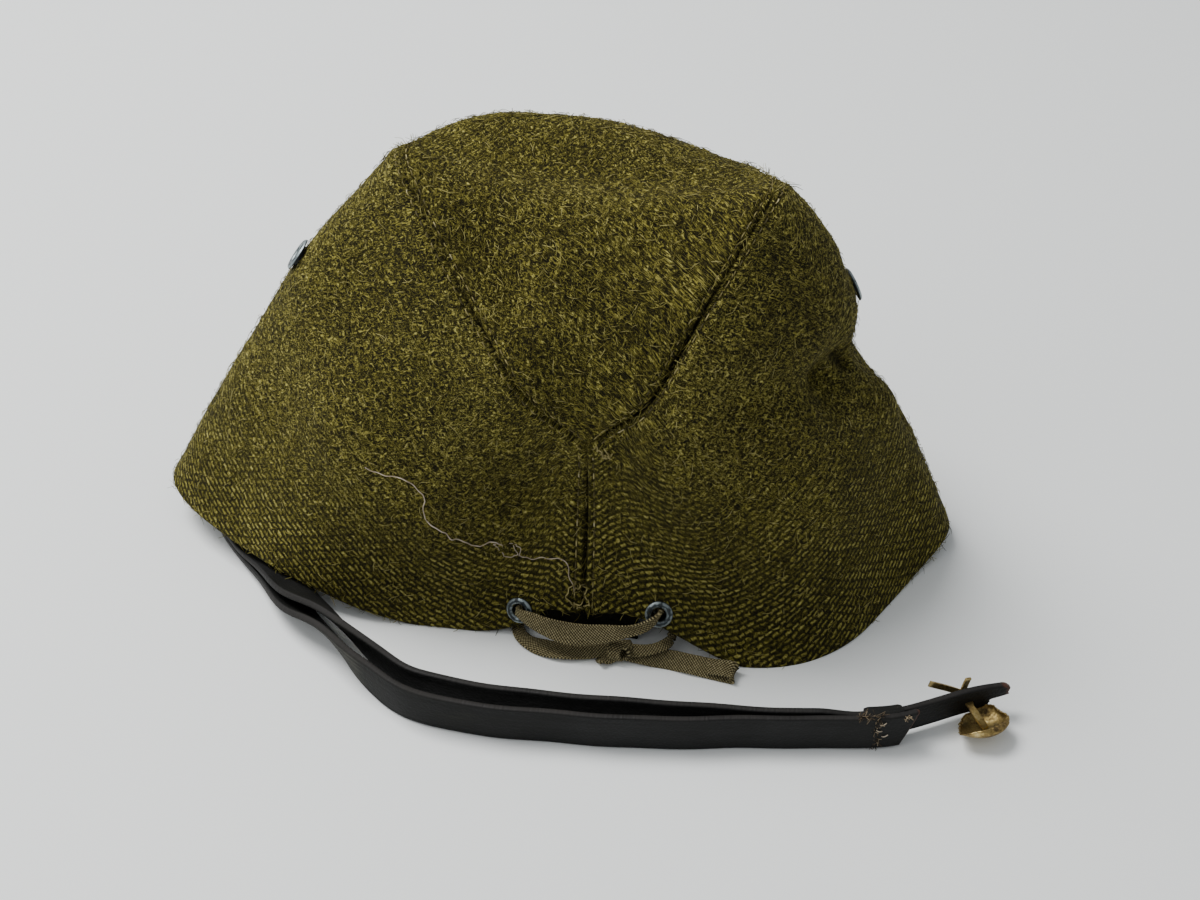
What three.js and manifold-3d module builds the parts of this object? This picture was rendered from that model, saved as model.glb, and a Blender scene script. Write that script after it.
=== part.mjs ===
import * as THREE from 'three';
import { mergeVertices } from 'three/addons/utils/BufferGeometryUtils.js';
import Module from 'manifold-3d';

// A soft wool field cap that rests on its hem, with two side panels, a top panel, a short peak,
// two vent eyelets, a laced notch at the back and a chin strap of two sliding leather pieces.
// Millimetres. +X is the wearer's right, +Y the front, +Z up, and the table is at z = 0.

const wasm = await Module();
wasm.setup();

// Driving dimensions
const clothThickness = 2.0;
const seamGap = 0.35;
const originX = 0.5;
const originY = 16.3;
const panelColumns = 30;
const panelRows = 12;
const topAcross = 12;
const topTipStation = 0.24;

const peakDepth = 46;
const peakEndDepth = 4;
const peakThickness = 2.6;
const peakHalfSpan = 2.5;
const peakSeatGap = 0.4;
const peakArchAtHem = 2.5;
const peakArchRise = 2.5;

const strapThickness = 1.8;
const strapWidth = 11;
const tabWidth = 8.2;
const keeperLength = 10;
const keeperWall = 1.3;
const keeperPlay = 0.5;

// Eyelets: radii of the bore, barrel, outer flange, inner washer and the hole in the cloth, and
// the play between the metal and the cloth outside and inside.
const ventSize = { bore: 2.4, barrel: 2.8, flange: 4.5, washer: 3.9, hole: 3.2, play: 0.6, back: 1.2 };
const laceSize = { bore: 1.9, barrel: 2.3, flange: 3.7, washer: 3.1, hole: 2.7, play: 0.7, back: 0.9 };
const eyeletPlate = 0.6;

const buttonRadius = 6.8;
const buttonHeight = 3.4;
const buttonShell = 0.8;
const buttonShank = 1.3;
const buttonHole = 1.8;
const legWidth = 1.6;
const legThickness = 0.7;

const tableGap = 0.05;

// Each row is one section up the side of the cap: where it stands on the hem line, where it meets
// the crown seam, and how far the cloth bows out from the straight line between them, a third and
// two thirds of the way up. Rows run from the back seam round to the front seam.
const sectionColumns = ['hemX', 'hemY', 'hemZ', 'seamX', 'seamY', 'seamZ', 'outLow', 'outHigh'];
const backRow = [6, -44, 10.5, 6, -39, 62, -3, -3.5];
const frontRow = [0, 66, 0, 0, 56, 68, 4, 6];
const rightRows = [
  [22, -45.5, 11.5, 14, -37.5, 70, -2.5, -1],
  [46, -49, 1, 21.5, -35.5, 77, -3, 2],
  [66, -46, 0, 31.6, -28, 96, -2, 3.5],
  [82, -32, 0, 40.2, -18, 108.6, 1, 5],
  [97, -9, 1, 46.8, -7.5, 117, 2.5, 6.5],
  [106, 6, 5, 49, 3, 116.5, 3, 5.5],
  [98, 28, 0, 46, 22, 107, 2.5, 3],
  [72, 50, 0, 36, 38, 98, 3, 6],
  [36, 62, 0, 20, 50, 84, 4, 7],
];
const leftRows = [
  [-4, -44, 10.8, 0, -37.5, 67, -3, -3.5],
  [-13.5, -43, 2.5, -8, -35.5, 73, -3.5, -3],
  [-40, -42, 0, -18.3, -30, 86.6, 0, 1],
  [-71, -36, 7.2, -31.7, -17, 104.5, 2, 2],
  [-97, -19.3, 8, -40.6, -4, 114.2, 2, 3],
  [-115.5, 1, 10, -45, 8, 117.5, 3, 4],
  [-103, 25, 8, -42, 24, 110, 3, 4],
  [-74, 48, 0, -33, 39, 100, 4, 6],
  [-36, 61, 0, -18, 50, 84, 4, 7],
];

// The middle line of the top panel, one row for each section above.
const crownColumns = ['x', 'y', 'z'];
const crownRows = [
  [6, -39, 62],
  [7, -37.3, 69],
  [7, -35, 76.5],
  [6, -28.5, 92],
  [5, -17, 106],
  [5, -4, 114],
  [2, 9, 112.5],
  [-8, 27, 117],
  [-3, 42, 106],
  [0, 52, 88],
  [0, 56, 68],
];
const crownSquareness = 2.4;

// Soft folds and dents: each is a line in space, how wide it spreads and how far it pushes the
// cloth away from the middle of the cap (a negative push is a dent).
const foldColumns = ['name', 'fromX', 'fromY', 'fromZ', 'toX', 'toY', 'toZ', 'spread', 'push'];
const foldRows = [
  ['right shoulder', 55, 4, 107, 61, 5, 100, 9, 2.1],
  ['right pinch', 86, 22, 62, 70, -10, 71, 10, -9],
  ['right hollow', 90, 8, 46, 79, 16, 52, 8, -3],
  ['right valley', 66, -14, 72, 46, -34, 78, 8, -4],
  ['right lobe', 74, -20, 42, 60, -38, 36, 16, 2],
  ['left bend above', -70, -5, 84, -57, -26, 58, 14, 2.5],
  ['left bend below', -55, -30, 50, -27, -38, 25, 12, 2.5],
  ['hollow by back seam', -9, -36, 44, -1, -37, 60, 10, -2],
  ['crown dent', -23, -15, 107, -14, -24, 96, 9, -3],
  ['crown bend', -14, -33, 79, 4, -12, 110, 9, 2],
  ['crown hollow', 10, -7, 112, 17, -15, 108, 9, -2],
];
const capMiddle = new THREE.Vector3(0, 8, 40);

// Where the fittings sit: the section row counted from the back seam, and the part of the way up.
const vents = {
  left: { station: 6, height: 0.675 },
  right: { station: 6.15, height: 0.705 },
};
const laceEyelets = {
  left: { station: 1.85, height: 0.07 },
  right: { station: 1.2, height: 0.06 },
};
const strapButton = { station: 7.3, height: 0.17 };

// The strap's route from its button, under the rim and along the table to its torn end. Each row
// is the middle between the two leathers, how far their lowest edge is off the table, the way their
// width points and the space between them.
const strapColumns = ['x', 'y', 'lift', 'widthX', 'widthY', 'widthZ', 'space'];
const strapRows = [
  [-96, 14, 2.1, -0.95, -0.3, 0, 0.6],
  [-97, 3, 2.1, -1, 0, 0, 0.6],
  [-96, -6, 1.4, -0.93, -0.35, 0.05, 0.6],
  [-91.4, -14.2, 0.7, -0.75, -0.66, 0.08, 0.6],
  [-85.6, -21.2, 0.3, -0.71, -0.68, 0.14, 0.7],
  [-78.6, -29.6, 0.35, -0.7, -0.64, 0.24, 1],
  [-70.9, -40.8, 0.5, -0.64, -0.52, 0.52, 1.5],
  [-61.2, -49.4, 0.6, -0.4, -0.36, 0.84, 2.3],
  [-51.6, -58.8, 0.4, -0.17, -0.18, 0.97, 3.4],
  [-44, -65.4, 0.15, -0.03, -0.03, 1, 4],
  [-36, -70.6, 0.15, 0, 0, 1, 4.2],
  [-24, -73.8, 0.15, 0, 0, 1, 4.6],
  [-11, -75.2, 0.15, 0, 0, 1, 4.8],
  [4, -75.7, 0.15, 0, 0, 1, 4.6],
  [20, -75.8, 0.15, 0, 0, 1, 3.8],
  [36, -75.3, 0.15, 0, 0, 1, 2.6],
  [52, -74.4, 0.15, 0, 0, 1, 1.5],
  [66, -73.5, 0.15, 0, 0, 1, 0.9],
  [78, -72.4, 0.45, 0, 0, 1, 0.65],
  [88, -70.6, 0.6, 0, 0, 1, 0.65],
  [97.5, -66, 0.6, 0, 0, 1, 0.65],
  [107.5, -61.4, 0.6, 0.05, 0, 1, 0.65],
  [116.5, -58.7, 0.4, 0.1, 0, 1, 0.65],
];

// The lace, row by row: its middle, its width and thickness, and the way its width points. It runs
// from the knot under the hem to the left eyelet, across to the right eyelet and back to the knot.
const laceColumns = ['x', 'y', 'z', 'width', 'thickness', 'widthX', 'widthY', 'widthZ'];
const laceFromKnotRows = [
  [14, -48.2, 3, 4, 1, 0, 0.6, 0.8],
  [6.5, -48.4, 1.9, 5.2, 0.9, 0, 0.9, 0.35],
  [1, -48.8, 1.4, 5.4, 0.9, 0, 1, 0.2],
  [-5, -47.4, 1.2, 5, 0.9, 0.2, 1, 0.1],
  [-10.4, -43.8, 1.1, 3.8, 0.9, 0.7, 0.7, 0],
  [-11.6, -38.6, 1.9, 2.8, 0.9, 1, 0.2, 0],
  [-10.6, -35.4, 5, 2.6, 0.9, 1, 0, 0],
];
const laceAcrossRows = [
  [-6, -47, 9.4, 4.6, 0.9, 0.1, 0.35, 0.93],
  [2, -48.6, 8.2, 5.8, 0.9, 0, 0.5, 0.85],
  [9, -49.1, 8.4, 5.6, 0.9, 0, 0.5, 0.85],
  [16, -49.2, 10.2, 4, 0.9, 0, 0.4, 0.9],
  [22.4, -48.6, 12.4, 2.8, 1, 0, 0.2, 0.95],
];
const laceToKnotRows = [
  [29.5, -41.5, 5.5, 3, 0.9, 0.3, 1, 0],
  [28.5, -46, 4.2, 3, 0.9, 0.3, 0.8, 0.4],
  [24, -48.4, 3.6, 3, 0.9, 0, 0.8, 0.5],
  [18, -48.6, 3, 4, 1, 0, 0.6, 0.8],
];
const laceTailRows = [
  [16, -48.2, 2, 4, 1, 0, 1, 0.4],
  [22, -48.6, 1, 5, 0.9, 0.1, 1, 0.1],
  [29, -49.4, 0.55, 5.4, 0.9, 0.2, 1, 0],
  [37, -51, 0.5, 5.4, 0.9, 0.2, 1, 0],
  [45, -52.9, 0.5, 5.2, 0.9, 0.2, 1, 0],
];
const laceStubRows = [
  [16, -48.4, 2.2, 4, 1, 0, 1, 0.4],
  [12.8, -50, 1.4, 4.4, 0.9, 0.6, 0.6, 0.2],
  [10.6, -51.4, 0.9, 4.2, 0.9, 0.6, 0.6, 0],
];
const knot = { x: 16, y: -48.4, z: 2.8, halfLength: 3.6, halfDepth: 2.7, halfHeight: 2.5 };

// The torn-off button: the middle of its rim, the way its dome points and where its legs end.
const tornButton = {
  rim: [109.6, -66.2, 5.2],
  facing: [0.15, -0.55, -0.82],
  uprightLeg: [105.4, -58.2, 11.4],
  bentLeg: [95.6, -60.2, 10.6],
};

const namedRows = (columns, rows) => rows.map(
  (row) => Object.fromEntries(columns.map((name, index) => [name, row[index]])),
);

// Slopes with which cubic pieces through the values join without a kink.
const smoothSlopes = (values, closed) => {
  const count = values.length;
  const slopes = new Array(count).fill(0);
  const passes = 60;
  for (let pass = 0; pass < passes; pass += 1) {
    for (let i = 0; i < count; i += 1) {
      const before = (i + count - 1) % count;
      const after = (i + 1) % count;
      if (!closed && i === 0) {
        slopes[i] = (3 * (values[after] - values[i]) - slopes[after]) / 2;
      } else if (!closed && i === count - 1) {
        slopes[i] = (3 * (values[i] - values[before]) - slopes[before]) / 2;
      } else {
        slopes[i] = (3 * (values[after] - values[before]) - slopes[before] - slopes[after]) / 4;
      }
    }
  }
  return slopes;
};

// A smooth function through one value for each row; between rows it takes a part of a row.
const curveThrough = (values, closed = false) => {
  const count = values.length;
  const slopes = smoothSlopes(values, closed);
  return (at) => {
    const floor = Math.floor(at);
    const start = closed ? floor : THREE.MathUtils.clamp(floor, 0, count - 2);
    const u = at - start;
    const a = ((start % count) + count) % count;
    const b = (a + 1) % count;
    const fromStart = (2 * u ** 3 - 3 * u ** 2 + 1) * values[a] + (u ** 3 - 2 * u ** 2 + u) * slopes[a];
    const toEnd = (3 * u ** 2 - 2 * u ** 3) * values[b] + (u ** 3 - u ** 2) * slopes[b];
    return fromStart + toEnd;
  };
};

const columnCurves = (rows, names, closed = false) => Object.fromEntries(
  names.map((name) => [name, curveThrough(rows.map((row) => row[name]), closed)]),
);

// The cap's surface
const [backSection, frontSection] = namedRows(sectionColumns, [backRow, frontRow]);
const sideSections = {
  right: namedRows(sectionColumns, rightRows),
  left: namedRows(sectionColumns, leftRows),
};
const loopSections = [
  backSection,
  ...sideSections.right,
  frontSection,
  ...sideSections.left.slice().reverse(),
];
const lastStation = crownRows.length - 1;
const hemCurves = columnCurves(loopSections, ['hemX', 'hemY', 'hemZ', 'outLow', 'outHigh'], true);
const seamCurves = {};
for (const side of ['right', 'left']) {
  const rows = [backSection, ...sideSections[side], frontSection];
  seamCurves[side] = columnCurves(rows, ['seamX', 'seamY', 'seamZ']);
}
const crownCurves = columnCurves(namedRows(crownColumns, crownRows), crownColumns);
const folds = namedRows(foldColumns, foldRows).map((row) => ({
  line: new THREE.Line3(
    new THREE.Vector3(row.fromX, row.fromY, row.fromZ),
    new THREE.Vector3(row.toX, row.toY, row.toZ),
  ),
  spread: row.spread,
  push: row.push,
}));

const folded = (point) => {
  const shift = new THREE.Vector3();
  const nearest = new THREE.Vector3();
  const outward = point.clone().sub(capMiddle).normalize();
  for (const fold of folds) {
    fold.line.closestPointToPoint(point, true, nearest);
    const away = point.distanceTo(nearest) / fold.spread;
    shift.addScaledVector(outward, fold.push * Math.exp(-away * away));
  }
  return point.add(shift);
};

const loopPlace = (side, station) => (side === 'right' ? station : loopSections.length - station);

const hemPoint = (along) => new THREE.Vector3(
  hemCurves.hemX(along),
  hemCurves.hemY(along),
  Math.max(0, hemCurves.hemZ(along)),
);

// The level direction that points out of the cap at a place on the hem.
const hemOutward = (along) => {
  const step = 0.01;
  const way = hemPoint(along + step).sub(hemPoint(along - step));
  return new THREE.Vector3(way.y, -way.x, 0).normalize();
};

const seamPoint = (side, station) => new THREE.Vector3(
  seamCurves[side].seamX(station),
  seamCurves[side].seamY(station),
  seamCurves[side].seamZ(station),
);

const wallPoint = (side, station, height) => {
  const along = loopPlace(side, station);
  const foot = hemPoint(along);
  const head = seamPoint(side, station);
  const rise = head.clone().sub(foot).normalize();
  const outward = hemOutward(along);
  outward.addScaledVector(rise, -outward.dot(rise)).normalize();
  const low = hemCurves.outLow(along) * (2 / 3 - height);
  const high = hemCurves.outHigh(along) * (height - 1 / 3);
  const bow = 13.5 * height * (1 - height) * (low + high);
  const point = folded(foot.lerp(head, height).addScaledVector(outward, bow));
  point.z = Math.max(0, point.z);
  return point;
};

const topPoint = (station, across) => {
  const left = seamPoint('left', station);
  const right = seamPoint('right', station);
  const middle = new THREE.Vector3(
    crownCurves.x(station),
    crownCurves.y(station),
    crownCurves.z(station),
  );
  const rise = middle.sub(left.clone().add(right).multiplyScalar(0.5));
  const share = 1 - Math.abs(2 * across - 1) ** crownSquareness;
  return folded(left.lerp(right, across).addScaledVector(rise, share));
};

// The unit normal of a surface, from small steps either way that stay inside its edges.
const surfaceNormal = (surface, u, v, uEnd, flip) => {
  const step = 0.01;
  const clampU = (value) => THREE.MathUtils.clamp(value, 0, uEnd);
  const clampV = (value) => THREE.MathUtils.clamp(value, 0, 1);
  const alongU = surface(clampU(u + step), v).sub(surface(clampU(u - step), v));
  const alongV = surface(u, clampV(v + step)).sub(surface(u, clampV(v - step)));
  return alongU.cross(alongV).normalize().multiplyScalar(flip);
};

const sideFlip = { right: 1, left: -1 };
const wallSurface = (side) => (station, height) => wallPoint(side, station, height);
const ownWallNormal = (side, station, height) => surfaceNormal(
  wallSurface(side),
  station,
  height,
  lastStation,
  sideFlip[side],
);
const ownTopNormal = (station, across) => {
  const inside = THREE.MathUtils.clamp(station, topTipStation, lastStation - topTipStation);
  return surfaceNormal(topPoint, inside, across, lastStation, -1);
};

// At a seam both panels use the mean of their normals, so their thickness is mitred there.
const wallNormal = (side, station, height) => {
  const normal = ownWallNormal(side, station, height);
  const other = side === 'right' ? 'left' : 'right';
  if (station === 0 || station === lastStation) {
    normal.add(ownWallNormal(other, station, height));
  }
  if (height === 1) {
    normal.add(ownTopNormal(station, side === 'right' ? 1 : 0));
  }
  return normal.normalize();
};

const topNormal = (station, across) => {
  const normal = ownTopNormal(station, across);
  if (across === 0) {
    normal.add(ownWallNormal('left', station, 1));
  }
  if (across === 1) {
    normal.add(ownWallNormal('right', station, 1));
  }
  return normal.normalize();
};

// Moves a place that lies on a sewn edge inside it by the seam gap.
const insideEdges = (surface, u, v, uStart, uEnd, openFoot) => {
  const step = 0.02;
  const speedU = (at) => surface(at + step, v).distanceTo(surface(at, v)) / step;
  const speedV = (at) => surface(u, at + step).distanceTo(surface(u, at)) / step;
  const lowU = uStart + seamGap / speedU(uStart);
  const highU = uEnd - seamGap / speedU(uEnd - step);
  const lowV = openFoot ? 0 : seamGap / speedV(0);
  const highV = 1 - seamGap / speedV(1 - step);
  return [THREE.MathUtils.clamp(u, lowU, highU), THREE.MathUtils.clamp(v, lowV, highV)];
};

// Mesh building
const upAxis = new THREE.Vector3(0, 1, 0);

const bareGeometry = (source) => {
  const bare = source.clone();
  bare.deleteAttribute('normal');
  bare.deleteAttribute('uv');
  return bare;
};

const meshFrom = (positions, triangles) => {
  const geometry = new THREE.BufferGeometry();
  geometry.setAttribute('position', new THREE.Float32BufferAttribute(positions, 3));
  geometry.setIndex(triangles);
  return geometry;
};

const signedVolume = (positions, triangles) => {
  const corner = [new THREE.Vector3(), new THREE.Vector3(), new THREE.Vector3()];
  let volume = 0;
  for (let i = 0; i < triangles.length; i += 3) {
    corner.forEach((point, k) => point.fromArray(positions, 3 * triangles[i + k]));
    volume += corner[0].dot(corner[1].cross(corner[2])) / 6;
  }
  return volume;
};

const outwardMesh = (points, triangles) => {
  const positions = points.flatMap((point) => [point.x, point.y, point.z]);
  if (signedVolume(positions, triangles) < 0) {
    for (let i = 0; i < triangles.length; i += 3) {
      [triangles[i + 1], triangles[i + 2]] = [triangles[i + 2], triangles[i + 1]];
    }
  }
  return meshFrom(positions, triangles);
};

// A sheet with an outer and an inner grid of points, closed all round its edge.
const closedSheet = (outer, inner) => {
  const columns = outer.length;
  const rows = outer[0].length;
  const innerStart = columns * rows;
  const points = [...outer.flat(), ...inner.flat()];
  const triangles = [];
  const quad = (a, b, c, d) => triangles.push(a, b, c, a, c, d);
  const at = (i, j) => i * rows + j;
  for (let i = 0; i < columns - 1; i += 1) {
    for (let j = 0; j < rows - 1; j += 1) {
      const [a, b, c, d] = [at(i, j), at(i + 1, j), at(i + 1, j + 1), at(i, j + 1)];
      quad(a, b, c, d);
      quad(innerStart + d, innerStart + c, innerStart + b, innerStart + a);
    }
  }
  const edge = [];
  for (let i = 0; i < columns - 1; i += 1) {
    edge.push(at(i, 0));
  }
  for (let j = 0; j < rows - 1; j += 1) {
    edge.push(at(columns - 1, j));
  }
  for (let i = columns - 1; i > 0; i -= 1) {
    edge.push(at(i, rows - 1));
  }
  for (let j = rows - 1; j > 0; j -= 1) {
    edge.push(at(0, j));
  }
  edge.forEach((here, k) => {
    const next = edge[(k + 1) % edge.length];
    quad(next, here, innerStart + here, innerStart + next);
  });
  return outwardMesh(points, triangles);
};

// A solid through a row of rings that all have the same number of corners.
const loft = (rings) => {
  const corners = rings[0].length;
  const triangles = [];
  for (let i = 0; i < rings.length - 1; i += 1) {
    for (let k = 0; k < corners; k += 1) {
      const here = i * corners + k;
      const next = i * corners + ((k + 1) % corners);
      triangles.push(here, next, next + corners, here, next + corners, here + corners);
    }
  }
  const last = (rings.length - 1) * corners;
  for (let k = 1; k < corners - 1; k += 1) {
    triangles.push(0, k + 1, k);
    triangles.push(last, last + k, last + k + 1);
  }
  return outwardMesh(rings.flat(), triangles);
};

const toSolid = (source) => {
  const merged = mergeVertices(bareGeometry(source), 1e-4);
  const mesh = new wasm.Mesh({
    numProp: 3,
    vertProperties: new Float32Array(merged.attributes.position.array),
    triVerts: new Uint32Array(merged.index.array),
  });
  return new wasm.Manifold(mesh);
};

const toGeometry = (solid) => {
  const mesh = solid.getMesh();
  return meshFrom(Array.from(mesh.vertProperties), Array.from(mesh.triVerts));
};

const fused = (geometries) => {
  const solids = geometries.map(toSolid);
  return toGeometry(solids.reduce((whole, solid) => whole.add(solid)));
};

const cutBy = (geometry, tools) => {
  const solids = tools.map(toSolid);
  return toGeometry(solids.reduce((whole, solid) => whole.subtract(solid), toSolid(geometry)));
};

// A round cutter or pin along a direction, centred on a point.
const roundBar = (centre, direction, radius, length, sides = 16) => {
  const bar = new THREE.CylinderGeometry(radius, radius, length, sides);
  bar.applyQuaternion(new THREE.Quaternion().setFromUnitVectors(upAxis, direction));
  bar.translate(centre.x, centre.y, centre.z);
  return bar;
};

// A turned solid from a profile of radius and height, with its axis along +Y.
const turned = (profile, sides) => {
  const points = profile.map(([radius, height]) => new THREE.Vector2(radius, height));
  const merged = mergeVertices(bareGeometry(new THREE.LatheGeometry(points, sides)), 1e-4);
  const corners = Array.from({ length: merged.attributes.position.count }, (_, k) => (
    new THREE.Vector3().fromBufferAttribute(merged.attributes.position, k)
  ));
  return toGeometry(toSolid(outwardMesh(corners, Array.from(merged.index.array))));
};

const aimed = (geometry, centre, direction) => {
  geometry.applyQuaternion(new THREE.Quaternion().setFromUnitVectors(upAxis, direction));
  geometry.translate(centre.x, centre.y, centre.z);
  return geometry;
};

// A flat strip through rows of named places, each with its own width, thickness and width direction.
// It stays above the table.
const ribbon = (rows, steps) => {
  const names = Object.keys(rows[0]);
  const curves = columnCurves(rows, names);
  const place = (at) => new THREE.Vector3(curves.x(at), curves.y(at), curves.z(at));
  const rings = [];
  for (let k = 0; k <= steps; k += 1) {
    const at = (k / steps) * (rows.length - 1);
    const step = 0.01;
    const way = place(Math.min(at + step, rows.length - 1)).sub(place(Math.max(at - step, 0))).normalize();
    const width = new THREE.Vector3(curves.widthX(at), curves.widthY(at), curves.widthZ(at));
    width.addScaledVector(way, -width.dot(way)).normalize();
    const face = way.clone().cross(width);
    const centre = place(at);
    const halfWidth = curves.width(at) / 2;
    const halfThickness = curves.thickness(at) / 2;
    rings.push([[1, 1], [-1, 1], [-1, -1], [1, -1]].map(([w, t]) => {
      const corner = centre.clone().addScaledVector(width, w * halfWidth);
      corner.addScaledVector(face, t * halfThickness);
      corner.z = Math.max(tableGap, corner.z);
      return corner;
    }));
  }
  return loft(rings);
};

// Panels
const sidePanel = (side) => {
  const surface = wallSurface(side);
  const outer = [];
  const inner = [];
  for (let i = 0; i <= panelColumns; i += 1) {
    const station = (i / panelColumns) * lastStation;
    outer.push([]);
    inner.push([]);
    for (let j = 0; j <= panelRows; j += 1) {
      const height = j / panelRows;
      const [u, v] = insideEdges(surface, station, height, 0, lastStation, true);
      const point = surface(u, v);
      const normal = wallNormal(side, station, height);
      const level = new THREE.Vector3(normal.x, normal.y, 0);
      const offset = j === 0 ? level.divideScalar(level.lengthSq()) : normal;
      outer[i].push(point);
      inner[i].push(point.clone().addScaledVector(offset, -clothThickness));
    }
  }
  return closedSheet(outer, inner);
};

const topPanel = () => {
  const outer = [];
  const inner = [];
  const end = lastStation - topTipStation;
  for (let i = 0; i <= panelColumns; i += 1) {
    const station = THREE.MathUtils.clamp((i / panelColumns) * lastStation, topTipStation, end);
    outer.push([]);
    inner.push([]);
    for (let j = 0; j <= topAcross; j += 1) {
      const across = j / topAcross;
      const [u, v] = insideEdges(topPoint, station, across, topTipStation, end, false);
      const point = topPoint(u, v);
      outer[i].push(point);
      inner[i].push(point.clone().addScaledVector(topNormal(station, across), -clothThickness));
    }
  }
  return closedSheet(outer, inner);
};

// The peak: a crescent that starts at the front of the hem, arched across and drooping forward.
const peak = () => {
  const frontAlong = lastStation;
  const columns = 20;
  const rows = 5;
  const upper = [];
  const lower = [];
  for (let i = 0; i <= columns; i += 1) {
    const across = (2 * i) / columns - 1;
    const along = frontAlong + across * peakHalfSpan;
    const outward = hemOutward(along);
    const forward = new THREE.Vector3(0.35 * outward.x, 0.35 * outward.y + 0.65, 0).normalize();
    const reach = peakEndDepth + (peakDepth - peakEndDepth) * (1 - Math.abs(across) ** 2.4) ** 0.6;
    const start = hemPoint(along).addScaledVector(outward, peakSeatGap);
    upper.push([]);
    lower.push([]);
    for (let j = 0; j <= rows; j += 1) {
      const out = j / rows;
      const arch = (1 - across ** 2) * (peakArchAtHem + peakArchRise * Math.sin(Math.PI * out));
      const point = start.clone().addScaledVector(forward, reach * out);
      upper[i].push(new THREE.Vector3(point.x, point.y, arch + peakThickness));
      lower[i].push(new THREE.Vector3(point.x, point.y, arch));
    }
  }
  return closedSheet(upper, lower);
};

// Eyelets
const clothFrame = (side, { station, height }) => ({
  point: wallPoint(side, station, height),
  normal: ownWallNormal(side, station, height),
});

const eyeletCutter = (side, place, size) => {
  const { point, normal } = clothFrame(side, place);
  return roundBar(point, normal, size.hole, 5 * clothThickness);
};

const buttonHoleCutter = () => {
  const { point, normal } = clothFrame('left', strapButton);
  return roundBar(point, normal, buttonHole, 5 * clothThickness);
};

const eyelet = (size) => {
  const top = size.play + eyeletPlate;
  const under = -clothThickness - size.back;
  const profile = [
    [size.bore, top],
    [size.flange - eyeletPlate / 2, top],
    [size.flange, size.play],
    [size.barrel, size.play],
    [size.barrel, under],
    [size.washer, under],
    [size.washer, under - eyeletPlate],
    [size.bore, under - eyeletPlate],
    [size.bore, top],
  ];
  return turned(profile, 12);
};

// Strap
const leastSpace = 0.5;

const alongWall = (height, lift) => {
  const { point, normal } = clothFrame('left', { station: strapButton.station, height });
  return point.addScaledVector(normal, lift);
};

const strapRow = (point, width) => ({
  x: point.x,
  y: point.y,
  z: point.z,
  widthX: width.x,
  widthY: width.y,
  widthZ: width.z,
  space: leastSpace,
});

const restingRow = (row) => {
  const width = new THREE.Vector3(row.widthX, row.widthY, row.widthZ).normalize();
  const flatness = Math.sqrt(1 - width.z ** 2);
  const stack = row.space / 2 + strapThickness;
  return { ...row, z: row.lift + (width.z * strapWidth) / 2 + flatness * stack };
};

// The first rows climb from under the rim to the button on the outside of the left panel.
const strapRoute = () => {
  const along = loopPlace('left', strapButton.station);
  const outward = hemOutward(along);
  const width = new THREE.Vector3(-outward.y, outward.x, 0);
  const rim = hemPoint(along);
  const lift = 0.7;
  const bendOut = 3.6;
  const bendHeight = 5.5;
  const underRim = 2.4;
  const climb = [
    strapRow(alongWall(strapButton.height + 0.05, lift), width),
    strapRow(alongWall(strapButton.height, lift), width),
    strapRow(alongWall(strapButton.height - 0.08, lift + 0.6), width),
    strapRow(rim.clone().addScaledVector(outward, bendOut).setZ(bendHeight), width),
    strapRow(rim.clone().addScaledVector(outward, -bendOut).setZ(underRim), width),
  ];
  return [...climb, ...namedRows(strapColumns, strapRows).map(restingRow)];
};

const strapStations = strapRoute();
const climbRows = strapStations.length - strapRows.length;
const strapCurves = columnCurves(
  strapStations,
  ['x', 'y', 'z', 'widthX', 'widthY', 'widthZ', 'space'],
);

// Row places along the strap route, counted from the button.
const outerStart = 0;
const outerEnd = climbRows + 19.2;
const innerStart = climbRows + 0.4;
const innerEnd = strapStations.length - 1;
const tabTaperFrom = climbRows + 17.1;
const tabTaperTo = climbRows + 18;
const outerSide = 1;
const innerSide = -1;

const strapFrame = (at) => {
  const place = (row) => new THREE.Vector3(strapCurves.x(row), strapCurves.y(row), strapCurves.z(row));
  const step = 0.01;
  const way = place(at + step).sub(place(at - step)).normalize();
  const width = new THREE.Vector3(strapCurves.widthX(at), strapCurves.widthY(at), strapCurves.widthZ(at));
  width.addScaledVector(way, -width.dot(way)).normalize();
  return { middle: place(at), way, width, face: way.clone().cross(width) };
};

const layerCentre = (at, side) => {
  const frame = strapFrame(at);
  const shift = (side * (strapThickness + Math.max(strapCurves.space(at), leastSpace))) / 2;
  return { ...frame, middle: frame.middle.addScaledVector(frame.face, shift) };
};

const rectangleRing = ({ middle, width, face }, wide, thick) => (
  [[1, 1], [-1, 1], [-1, -1], [1, -1]].map(([w, t]) => middle.clone()
    .addScaledVector(width, (w * wide) / 2)
    .addScaledVector(face, (t * thick) / 2))
);

const spread = (from, to, steps, make) => Array.from(
  { length: steps + 1 },
  (_, k) => make(from + (k / steps) * (to - from)),
);

// Both leathers have their rings at the same places on the route, so that their faces stay apart.
const strapLayer = (from, to, side, widthAt) => {
  const ringStep = 0.5;
  const places = [from];
  for (let at = ringStep * Math.ceil(from / ringStep + 0.2); at < to - 0.2 * ringStep; at += ringStep) {
    places.push(at);
  }
  places.push(to);
  return loft(places.map(
    (at) => rectangleRing(layerCentre(at, side), widthAt(at), strapThickness),
  ));
};

// A keeper: the end of one leather folded round the other and back, as a short flat sleeve.
const keeperRows = (at) => {
  const reach = strapFrame(at + 0.5).middle.distanceTo(strapFrame(at - 0.5).middle);
  return keeperLength / reach;
};

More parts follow.
